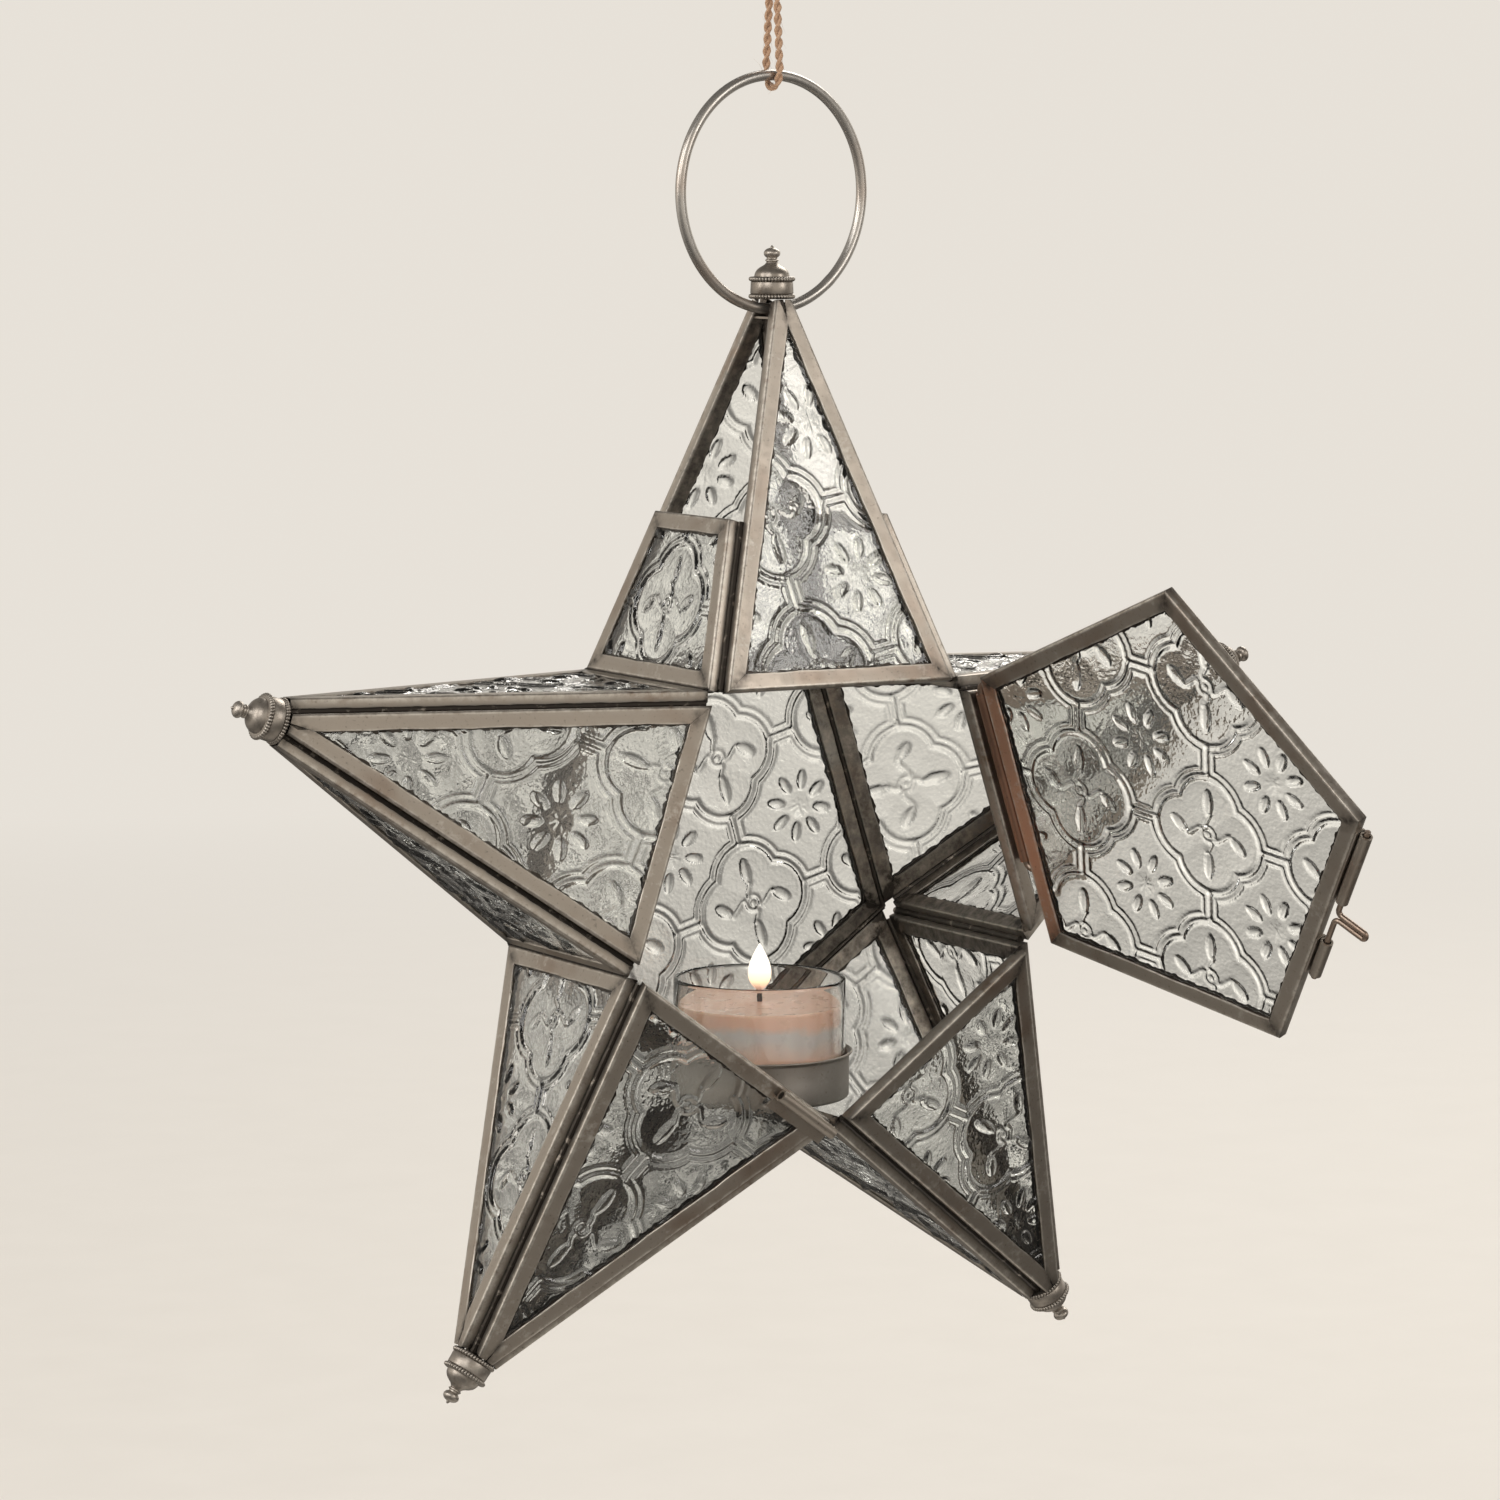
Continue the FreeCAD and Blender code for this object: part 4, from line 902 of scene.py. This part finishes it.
def fan_pane(corners, window, sheet_cut, step):
    """Pane about its middle: point = share of the way from the middle to a point of the outline."""
    corners = np.asarray(corners, float)
    per_side = int(np.linalg.norm(corners[1] - corners[0]) / step)
    f = (np.arange(per_side) / per_side)[None, :, None]
    edge = (corners[:, None] * (1 - f) + np.roll(corners, -1, axis=0)[:, None] * f).reshape(-1, 2)
    rows = int(np.linalg.norm(corners[0]) / step)
    share = (np.arange(1, rows + 1) / rows)[:, None, None]
    flat = np.concatenate([(share * edge[None]).reshape(-1, 2), [[0.0, 0.0]]])
    face = pane_surface(flat[:, 0], flat[:, 1], window, sheet_cut)
    columns = len(edge)
    quads, _, _ = grid(rows, columns, True)
    here = np.arange(columns)
    middle = np.stack([here, (here + 1) % columns, np.full(columns, rows * columns)], 1)
    boundary = (rows - 1) * columns + here
    return closed_pane(face, boundary[::-1], [quads, middle])


def glass_piece(name, shell, place, body, replaced):
    """One pane set in the star."""
    shell["points"] = set_in_star(shell["points"], place)
    return make_piece(name, [shell], pressed_glass, body, [replaced], 60)


print("pane helpers ready")

# %% The five arms
ARMS = (
    ("top", "left", "right"),
    ("upper_left", "lower", "upper"),
    ("lower_left", "inner", "outer"),
    ("lower_right", "outer", "inner"),
    ("upper_right", "upper", "lower"),
)
# Turn and place of the lattice on the panes that the photograph shows well
SHEET_CUTS = {
    "top_front": (11.3, -5.3, 5.7),
    "top_left": (0.0, 0.0, 19.6),
    "upper_left_front": (-6.0, 15.7, 43.3),
    "lower_left_front": (-1.5, 1.7, 17.6),
    "lower_left_outer": (9.5, -1.5, 15.3),
    "lower_right_front": (30.0, -18.0, -8.0),
    "rear": (-16.0, -13.9, -12.6),
    "door": (34.0, -8.0, -7.6),
}
# Steps of the panes' grids: where the picture shows them well, elsewhere, and on the pentagons
FINE, PLAIN, PENTAGON_STEP = 0.36, 0.52, 0.46


def face_place(degrees, base, across):
    """Origin, across and upslope directions of a face that rises from its base to the arm's apex."""
    slant = unit(radial(degrees) * ARM_REACH - base)
    return base + np.cross(across, slant) * THICKNESS / 2, across, slant, False


def arm_faces(index, left, right):
    """Name, outline sizes, base inset, top level and place of an arm's four faces."""
    degrees = 90 + 72 * index
    outward = radial(degrees) * APOTHEM
    sideways = -along_side(degrees)
    top = VENT_LEVEL if index == 0 else None
    yield "front", HALF_SIDE, FRONT_SLANT, FRONT_CUT, OPENING_INSET, None, face_place(
        degrees, outward - REARWARD * HALF_DEPTH, -along_side(degrees))
    yield "rear", HALF_SIDE, FRONT_SLANT, FRONT_CUT, RIDGE_GAP, None, face_place(
        degrees, outward + REARWARD * HALF_DEPTH, along_side(degrees))
    for side, share in ((left, -1), (right, 1)):
        yield side, HALF_DEPTH, SIDE_SLANT, SIDE_CUT, VALLEY_INSET, top, face_place(
            degrees, outward + sideways * HALF_SIDE * share, REARWARD * share)


dice = np.random.default_rng(5)
for index, (arm, left, right) in enumerate(ARMS):
    for side, half_base, slant, cut, low, high, place in arm_faces(index, left, right):
        name = f"{arm}_{side}"
        outline = face_corners(half_base, slant, RIDGE_GAP, low, high)
        channel_frame(name, outline, place, "lantern", index * 4 + len(side), cut if high is None else None)
        top = cut - GLASS_TIP if high is None else high - SHEET
        pane = face_corners(half_base, slant, RIDGE_GAP + SHEET, low + SHEET, top)
        window = face_corners(half_base, slant, RIDGE_GAP + CHANNEL_FACE, low + CHANNEL_FACE,
                              None if high is None else high - CHANNEL_FACE)
        chance = (dice.uniform(-9, 9), *dice.uniform(-15, 15, 2))
        shell = ruled_pane(pane, window, SHEET_CUTS.get(name, chance), FINE if name in SHEET_CUTS else PLAIN)
        glass_piece(name + "_pane", shell, place, "lantern", arm + "_glass")

# %% [markdown]
# ## Rear pane and door
# Both are pentagons in the same folded channel. The door is a little larger, stands open by 103.5 degrees,
# and turns on a wire staple in a rolled sleeve. Its pieces are worked out closed and then swung on the
# hinge.

# %% Rear pane and door
REAR_PLACE = (REARWARD * (HALF_DEPTH + THICKNESS / 2), -RIGHTWARD, UP, False)
DOOR_PLACE = (-REARWARD * DOOR_MID, RIGHTWARD, UP, True)
HINGE_SIDE = 3
side_share = APOTHEM / PENTAGON_RADIUS
for name, radius, place, body, coppered in (("rear", PENTAGON_RADIUS, REAR_PLACE, "lantern", None),
                                            ("door", DOOR_RADIUS, DOOR_PLACE, "door", HINGE_SIDE)):
    channel_frame(name, pentagon_corners(radius), place, body, 40 + len(name), None, coppered)
    pane = pentagon_corners(radius - SHEET / side_share)
    window = pentagon_corners(radius - CHANNEL_FACE / side_share)
    shell = fan_pane(pane, window, SHEET_CUTS[name], PENTAGON_STEP)
    glass_piece(name + "_pane", shell, place, body, name + "_glass")
print("door stands open by", round(math.degrees(DOOR_OPEN), 1), "degrees")

# %% [markdown]
# ## Solder in the seams
# The frames of an arm meet along its ridges at an angle, and solder dulled with age closes the groove. Each
# seam is a thin rod between two known corners of the star, so a straight tube with a wandering radius does.
# Its dark colour is the dull solder and painted shade in the groove.

# %% Seams
VALLEY_ROD, REAR_ROD, RIDGE_ROD = 0.85, 0.6, 0.75


def seam(start, end, radius, seed):
    """Tube from start to end: the radius is a steady part plus quick sines with seeded phases."""
    length = np.linalg.norm(end - start)
    way = (end - start) / length
    first = unit(np.cross(way, UP if abs(way[2]) < 0.9 else RIGHTWARD))
    t = np.linspace(0, length, max(int(length / 1.5), 6))[:, None]
    around = np.linspace(0, 2 * np.pi, 8, endpoint=False)[None, :]
    reach = radius * (1 + 0.14 * wander(t * 3, seed))
    across = circle(reach, around, first, np.cross(way, first))
    # Dark all along: dull solder and painted shade in the groove
    return loft(row_metres(start + way * t[..., None] + across), 0.0, SEAM_AND_LIP_SHADE)


seams = []
for index in range(5):
    degrees = 90 + 72 * index
    apex = radial(degrees) * ARM_REACH
    valley = radial(degrees + 36) * PENTAGON_RADIUS
    outer = radial(degrees + 36) * (PENTAGON_RADIUS + 3.0)
    front, rear = outer - REARWARD * (HALF_DEPTH - 3), outer + REARWARD * (HALF_DEPTH - 1)
    seams.append(seam(front, rear, VALLEY_ROD, index))
    following = radial(degrees + 108) * PENTAGON_RADIUS
    seams.append(seam(valley + REARWARD * HALF_DEPTH, following + REARWARD * HALF_DEPTH, REAR_ROD, index + 5))
    stop = VENT_LEVEL / SIDE_SLANT if index == 0 else (ARM_CUT - 0.5 - APOTHEM) / ARM_LENGTH
    for corner_at in (degrees - 36, degrees + 36):
        for depth in (-HALF_DEPTH, HALF_DEPTH):
            base = radial(corner_at) * PENTAGON_RADIUS + REARWARD * depth
            rise = apex - base
            seams.append(seam(base + rise * 0.03, base + rise * stop, RIDGE_ROD, len(seams)))
make_piece("seams", seams, tin, "lantern")
print("seams:", len(seams))

# %% [markdown]
# ## Finials
# Each arm ends in a small turned cap: a toothed base ring, a plain band, a toothed rim, a hollow bell, a
# neck and a flattened knob. A lathe makes it, and a wheel with teeth is run round the two rings. So the
# piece is a profile turned about an axis, with the radius of the two rings varied round the turn.

# %% Finials
FINIAL_SIDES, TOOTH_DEPTH, TEETH = 168, 0.34, 42


def turned(profile, origin, axis, sides, tooth_depth=0.0, teeth=0):
    """Surface of revolution: origin + axis * height + radius * (cos, sin) of the turn, closed by a small flat
    at each pole. Profile columns: height, radius, share of a tooth's depth, nearness to a worn edge."""
    height, radius, toothed, fold = np.asarray(profile, float).T
    first = unit(np.cross(axis, REARWARD if abs(axis[1]) < 0.9 else RIGHTWARD))
    around = np.linspace(0, 2 * np.pi, sides, endpoint=False)
    bite = tooth_depth * (0.5 - 0.5 * np.cos(teeth * around)) ** 2
    reach = radius[:, None] - toothed[:, None] * bite[None, :]
    rings = origin + axis * height[:, None, None] + circle(reach, around, first, np.cross(axis, first))
    # Darker in the hollows of the teeth, on the same number as the frames' dark mitres
    teeth_darkening = toothed[:, None] * (bite / tooth_depth if tooth_depth else bite)[None, :]
    return loft(row_metres(rings), fold[:, None], teeth_darkening)


def arc_points(centre, radii, start, end, count):
    """Points on an ellipse between two angles in degrees: (height, radius) pairs."""
    angles = np.radians(np.linspace(start, end, count))
    return [(centre[0] + radii[0] * math.sin(a), centre[1] + radii[1] * math.cos(a)) for a in angles]


def finial_profile():
    """Line from the middle of the base, out over both toothed rings, in up the bell and over the knob."""
    rows = [(0.0, 0.02, 0, 0), (0.0, 4.2, 0, 0.2)]
    rows += [(h, r, 1, 0.8) for h, r in arc_points((0.55, 4.65), (0.55, 0.55), -90, 90, 9)]
    rows += [(1.16, 4.72, 0, 0), (1.3, 4.80, 0, 0.3), (2.5, 4.74, 0, 0), (3.65, 4.70, 0, 0.3)]
    rows += [(3.8, 4.62, 0, 0)]
    rows += [(h, r, 1, 1) for h, r in arc_points((4.38, 4.60), (0.52, 0.58), -90, 90, 9)]
    rows += [(4.92, 4.35, 0, 0), (4.98, 3.95, 0, 0.2)]
    rows += [(h, r, 0, 0.2) for h, r in arc_points((5.0, 0.0), (2.7, 3.9), 4, 52, 10)]
    rows += [(7.5, 1.75, 0, 0.1), (7.9, 1.35, 0, 0), (8.2, 1.22, 0, 0.2), (8.4, 1.5, 0, 1), (8.62, 1.5, 0, 1)]
    rows += [(8.8, 1.2, 0, 0.2)]
    rows += [(h, r, 0, 0.8) for h, r in arc_points((10.05, 0.0), (1.25, 1.85), -50, 76, 18)]
    return rows + [(11.36, 0.42, 0, 0.9), (11.6, 0.3, 0, 0.9), (11.78, 0.16, 0, 0.9), (11.84, 0.02, 0, 0.9)]


for index, (arm, _, _) in enumerate(ARMS):
    axis = radial(90 + 72 * index)
    shell = turned(finial_profile(), axis * ARM_CUT, axis, FINIAL_SIDES, TOOTH_DEPTH, TEETH)
    make_piece(arm + "_cap", [shell], cast_metal, "lantern", [arm + "_finial"], 50)
print("finial profile of", len(finial_profile()), "points")

# %% [markdown]
# ## Tealight in its dish
# A clear cup of wax stands in a shallow tin dish with a turned lip. The candle burns: the top is a clear
# ring of melted wax round the wick, and below it the wax is milky and then peach again where it has not
# melted. Dish, cup, wax and flame are turned shapes, and the wick is a bent tube.

# %% Dish
CANDLE_AXIS = REARWARD * 4.0
# The floor of the dish rests on the frames of the lower valley, as in the solids
DISH_FLOOR = -52.0886
CUP_FLOOR = DISH_FLOOR + 0.5


def candle_piece(name, profile, floor, material, body, replaced=(), sides=128, smooth_up_to=50):
    """Turned piece on the candle's axis, from (height, radius) pairs."""
    rows = [(h, r, 0, 0) for h, r in profile]
    shell = turned(rows, CANDLE_AXIS + UP * floor, UP, sides)
    return make_piece(name, [shell], material, body, replaced, smooth_up_to)


dish = [(0.0, 0.02), (0.0, 19.6)] + arc_points((0.7, 19.6), (0.7, 0.7), -90, 0, 5)
dish += [(5.0, 20.30), (9.25, 20.30), (9.6, 20.38), (9.9, 20.62), (10.05, 21.0), (10.2, 21.08), (10.4, 21.05),
         (10.5, 20.9), (10.42, 20.5), (10.15, 20.15), (9.7, 19.93), (9.2, 19.86), (0.9, 19.86), (0.6, 19.6),
         (0.47, 19.2), (0.45, 0.02)]
candle_piece("dish", dish, DISH_FLOOR, dish_tin, "lantern", ["candle_holder"])
print("dish floor at", DISH_FLOOR, "mm")

# %% Cup
CUP_WALL = 0.9
cup = [(0.0, 0.02), (0.0, 17.0)] + arc_points((2.1, 17.4), (2.1, 2.1), -80, 0, 8)
cup += [(8.0, 19.5), (20.0, 19.46), (25.6, 19.46), (26.1, 19.42), (26.4, 19.2), (26.5, 18.98), (26.4, 18.76),
        (26.05, 18.64), (25.5, 18.6), (20.0, 18.6), (8.0, 18.6)]
cup += arc_points((2.1, 17.4), (1.2, 1.2), 0, -80, 8) + [(CUP_WALL, 17.0), (CUP_WALL, 0.02)]
candle_piece("cup", cup, CUP_FLOOR, clear_cup, "tealight", ["tealight_cup"])
print("cup floor at", round(CUP_FLOOR, 4), "mm")

# %% [markdown]
# ## Wax, wick and flame
# The wax stands a tenth of a millimetre inside the cup, because two surfaces in one place render as dark
# patches. Its bands are a colour ramp over the height. The flame is a drop that glows by itself and fades
# towards its edge. It needs no lamp, since daylight drowns what a candle gives.

# %% Wax
WAX_TOP = CUP_FLOOR + 20.55
wax = [(0.95, 0.02), (0.95, 17.0)] + arc_points((2.15, 17.3), (1.2, 1.2), -80, 0, 6)
wax += [(10.0, 18.5), (19.9, 18.5), (20.3, 18.45), (20.55, 18.3), (20.35, 17.7), (20.15, 16.5), (20.02, 13.5),
        (19.95, 10.0), (19.95, 5.0), (20.05, 2.0), (20.25, 1.1), (20.35, 0.75), (20.3, 0.02)]
wax_finish, tree, shader, coordinates = finish_material("peach_wax")
height = node(tree, "SeparateXYZ", {0: coordinates}).outputs["Z"]
cloudy = maths(tree, "MULTIPLY", maths(tree, "SUBTRACT", noise(tree, coordinates, 120.0, 4.0), 0.5), 0.006)
level = maths(tree, "ADD", height, cloudy)
BAND_FOOT, BAND_TOP = [(CUP_FLOOR + above - HANG_HEIGHT) * MILLIMETRE for above in (9.5, 16.0)]
milky = maths(tree, "MULTIPLY", ramp(tree, level, BAND_FOOT, BAND_FOOT + 0.0050),
              ramp(tree, level, BAND_TOP, BAND_TOP + 0.0018, 1.0, 0.0))
colour = mixed(tree, milky, shade(0.68, 0.43, 0.325), shade(0.54, 0.485, 0.46))
tree.links.new(colour, shader.inputs["Base Color"])
tree.links.new(ramp(tree, noise(tree, coordinates, 300.0), 0.3, 0.7, 0.22, 0.42), shader.inputs["Roughness"])
shader.inputs["Subsurface Weight"].default_value = 0.25
shader.inputs["Subsurface Radius"].default_value = (0.006, 0.003, 0.0018)
shader.inputs["Subsurface Scale"].default_value = 1.0
candle_piece("wax", wax, CUP_FLOOR, wax_finish, "tealight", ["tealight_wax"])
print("wax top at", round((WAX_TOP - HANG_HEIGHT) * MILLIMETRE, 4), "m")

# %% Wick


def wick_surface():
    """Tube of 0.6 mm radius: straight up, then an arc of 2.6 mm radius to the left, unevenly braided."""
    straight_share, straight, arc_radius = 0.62, 21.2, 2.6
    t = np.linspace(0, 1, 60)
    bend = np.clip((t - straight_share) / (1 - straight_share), 0, 1) * math.radians(65)
    rise = CUP_FLOOR + 1.6 + np.minimum(t / straight_share, 1) * straight
    rise = rise + arc_radius * np.sin(bend)
    centre = np.stack([arc_radius * (np.cos(bend) - 1), 0 * t, rise], 1) + CANDLE_AXIS
    v = np.linspace(0, 2 * np.pi, 16, endpoint=False)
    row = np.arange(60)[:, None]
    radius = (0.58 + 0.05 * np.sin(row * 2.1)) * (1 + 0.08 * np.cos(3 * v + row))
    out = np.stack([np.cos(bend), 0 * bend, np.sin(bend)], 1)
    return centre[:, None] + circle(radius, v, out[:, None], REARWARD)


burnt, tree, shader, coordinates = finish_material("burnt_wick")
char = noise(tree, coordinates, 900.0)
colour = mixed(tree, char, shade(0.012, 0.010, 0.009), shade(0.075, 0.05, 0.04))
tree.links.new(colour, shader.inputs["Base Color"])
shader.inputs["Roughness"].default_value = 0.9
roughen(tree, shader, char, 0.7, 0.0002)
make_piece("wick", [loft(row_metres(wick_surface()))], burnt, "tealight", ["tealight_wick"])
print("wick finish:", burnt.name)

# %% Flame
FLAME_FOOT, FLAME_HEIGHT = WAX_TOP + 2.6, 11.0
flame_finish, tree, shader, coordinates = finish_material("flame")
height = node(tree, "SeparateXYZ", {0: coordinates}).outputs["Z"]
flame_low = (FLAME_FOOT - HANG_HEIGHT) * MILLIMETRE
share = ramp(tree, height, flame_low, flame_low + FLAME_HEIGHT * MILLIMETRE)
inner = mixed(tree, ramp(tree, share, 0.0, 0.25), shade(0.50, 0.26, 0.20), shade(1.0, 0.66, 0.40))
glow = mixed(tree, ramp(tree, share, 0.2, 0.6), inner, shade(1.0, 0.93, 0.80))
tree.links.new(glow, shader.inputs["Emission Color"])
shader.inputs["Emission Strength"].default_value = 1.6
shader.inputs["Base Color"].default_value = shade(0.0, 0.0, 0.0)
shader.inputs["Roughness"].default_value = 1.0
facing = node(tree, "LayerWeight", {"Blend": 0.35}).outputs["Facing"]
rim, foot = ramp(tree, facing, 0.45, 0.98, 1.0, 0.0), ramp(tree, share, 0.0, 0.2, 0.3, 1.0)
solid = maths(tree, "MULTIPLY", rim, foot)
tree.links.new(solid, shader.inputs["Alpha"])
flame_share = np.linspace(0.004, 0.996, 40)
flame_reach = 2.9 * np.sin(np.pi * flame_share ** 0.78) ** 0.9 * (1 - 0.2 * flame_share)
flame_rows = [(h * FLAME_HEIGHT, r) for h, r in zip(flame_share, flame_reach)]
candle_piece("flame", flame_rows, FLAME_FOOT, flame_finish, "tealight", (), 48, 80)
print("flame of", FLAME_HEIGHT, "mm")

# %% [markdown]
# ## Pieces whose solids are already right
# The rolled sleeve, the bolt's tubes, the wire bolt and the small strip under the ring have the real shape.
# They keep their measured solids and only get a finish. Wires carry the copper of their plating.

# %% Finishes on the measured solids
shiny_foot, tree, shader, coordinates = finish_material("foot_tin")
tree.links.new(mixed(tree, noise(tree, coordinates, 500.0), shade(0.55, 0.55, 0.55), shade(0.8, 0.8, 0.8)),
               shader.inputs["Base Color"])
shader.inputs["Metallic"].default_value = 1.0
shader.inputs["Roughness"].default_value = 0.3
KEPT = {
    tin: ("ring_keeper", "latch_catch", "long_bolt_guide", "short_bolt_guide"),
    copper_tin: ("hinge_sleeve",),
    copper_wire: ("hinge_wire", "latch_bolt"),
    shiny_foot: ("wick_foot",),
}
for material, names in KEPT.items():
    for name in names:
        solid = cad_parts[name]
        solid.data.materials.clear()
        solid.data.materials.append(material)
print("kept solids:", sum(len(names) for names in KEPT.values()))

# %% [markdown]
# ## Floor, sky and lamps
# Clear glass shows what stands behind it, so an even backdrop would leave its relief unseen. The camera
# sees plain pale tones. Rays that pass the glass or glance off it see the tones of a room instead: bright
# at eye level, dark lower down and pale again underfoot, with soft upright bands like a curtain's folds.
# The floor is a wide pale disc well below the lantern, and it fades into the backdrop at its edge.

# %% Tones of the room
room, takes, gives = shared_effect("room_tones", [("Vector", VECTOR, None)], [("Color", "NodeSocketColor")])
way = node(room, "VectorMath", {0: takes["Vector"]}, operation="NORMALIZE").outputs["Vector"]
parts = node(room, "SeparateXYZ", {0: way}).outputs
heading = maths(room, "ARCTAN2", parts["Y"], parts["X"])
window = maths(room, "SINE", maths(room, "ADD", maths(room, "MULTIPLY", heading, 3.0), 0.26))
folds = maths(room, "SINE", maths(room, "ADD", maths(room, "MULTIPLY", heading, 13.0), 0.9))
shares = maths(room, "ADD", ramp(room, window, -1.0, 1.0, 0.28, 0.76),
               ramp(room, folds, -1.0, 1.0, 0.0, 0.26))
around_eye = ramp(room, parts["Z"], -0.46, 0.02, 0.25, 1.0)
overhead = ramp(room, parts["Z"], 0.22, 0.75, 1.0, 0.3)
underfoot = ramp(room, parts["Z"], -0.55, -0.95, 0.0, 0.8)
rise = maths(room, "MAXIMUM", maths(room, "MULTIPLY", around_eye, overhead), underfoot)
brightness = maths(room, "POWER", maths(room, "MULTIPLY", shares, rise), 1.5)
tones = mixed(room, brightness, shade(0.06, 0.056, 0.052), shade(1.42, 1.34, 1.21))
room.links.new(tones, gives["Color"])


def room_for(tree, direction):
    """The kinds of ray, a mask of rays that pass the glass or glance off it, and the tones that they see."""
    rays = node(tree, "LightPath").outputs
    toned = node(tree, "Group", {"Vector": direction}, node_tree=room).outputs["Color"]
    return rays, maths(tree, "MAXIMUM", rays["Is Glossy Ray"], rays["Is Transmission Ray"]), toned


print("room tones:", len(room.nodes), "nodes")

# %% Floor
PALE = shade(0.80, 0.755, 0.69)
FLOOR_LEVEL = -0.46
floor_finish, tree, shader, coordinates = finish_material("pale_floor")
shader.inputs["Roughness"].default_value = 0.7
grain = noise(tree, coordinates, 30.0, 4.0)
colour = mixed(tree, grain, shade(0.74, 0.70, 0.64), shade(0.78, 0.74, 0.68))
tree.links.new(colour, shader.inputs["Base Color"])
distance = node(tree, "VectorMath", {0: coordinates}, operation="LENGTH").outputs["Value"]
from_lantern = node(tree, "VectorMath", {0: coordinates, 1: (0.0, 0.0, 0.175)}, operation="ADD")
rays, passed, toned = room_for(tree, from_lantern.outputs["Vector"])
far = maths(tree, "MULTIPLY", ramp(tree, distance, 0.9, 2.4), rays["Is Camera Ray"])
backdrop = node(tree, "Emission", {"Color": mixed(tree, passed, PALE, toned), "Strength": 1.0}).outputs[0]
blend = node(tree, "MixShader", {0: maths(tree, "MAXIMUM", far, passed), 1: shader.outputs[0], 2: backdrop})
tree.links.new(blend.outputs[0], tree.nodes["Material Output"].inputs["Surface"])

FLOOR_ROWS, FLOOR_COLUMNS = 24, 96
around = np.linspace(0, 2 * np.pi, FLOOR_COLUMNS, endpoint=False)
reach = np.linspace(0.05, 6.0, FLOOR_ROWS)[:, None]
disc = np.stack([reach * np.cos(around), reach * np.sin(around), FLOOR_LEVEL + 0 * reach * around], -1)
floor_mesh = bpy.data.meshes.new("floor")
quads, _, _ = grid(FLOOR_ROWS, FLOOR_COLUMNS, True)
floor_mesh.from_pydata(disc.reshape(-1, 3).tolist(), [], quads.tolist() + [list(range(FLOOR_COLUMNS))])
floor_mesh.materials.append(floor_finish)
floor = bpy.data.objects.new("floor", floor_mesh)
bpy.context.scene.collection.objects.link(floor)
print("floor", -FLOOR_LEVEL, "m below the hang point")

# %% World and lamps
world = bpy.data.worlds.new("room")
bpy.context.scene.world = world
world.use_nodes = True
tree = world.node_tree
rays, passed, toned = room_for(tree, node(tree, "TexCoord").outputs["Generated"])
colour = mixed(tree, passed, shade(0.56, 0.55, 0.54), toned)
colour = mixed(tree, rays["Is Camera Ray"], colour, PALE)
tree.links.new(colour, tree.nodes["Background"].inputs["Color"])
tree.nodes["Background"].inputs["Strength"].default_value = 1.0
STAR_MIDDLE = np.array([0.0, 0.0, -0.17])


def lamp(name, place, width, height, watts, colour):
    """Softbox at a place in metres that looks at the middle of the star."""
    data = bpy.data.lights.new(name, "AREA")
    data.shape = "RECTANGLE"
    data.size, data.size_y, data.energy, data.color = width, height, watts, colour
    back = unit(np.array(place) - STAR_MIDDLE)
    stand(bpy.data.objects.new(name, data), place, back, unit(np.cross(UP, back)))


lamp("window_light", (1.6, 1.2, 1.3), 1.2, 1.2, 24, (1.0, 0.96, 0.90))
lamp("room_light", (-1.4, -0.9, 0.8), 1.0, 1.0, 11, (1.0, 0.98, 0.95))
lamp("low_light", (1.0, -1.7, 0.5), 0.7, 0.9, 8, (1.0, 0.97, 0.93))
lamp("left_light", (-1.9, 0.2, 0.6), 0.8, 1.1, 12, (1.0, 0.98, 0.95))
print("four lamps and a pale room")

# %% [markdown]
# ## Last lines
# The picture is shown with the plain Standard transform, so a colour renders about as it is written.

# %% Finish
bpy.context.scene.view_settings.view_transform = "Standard"
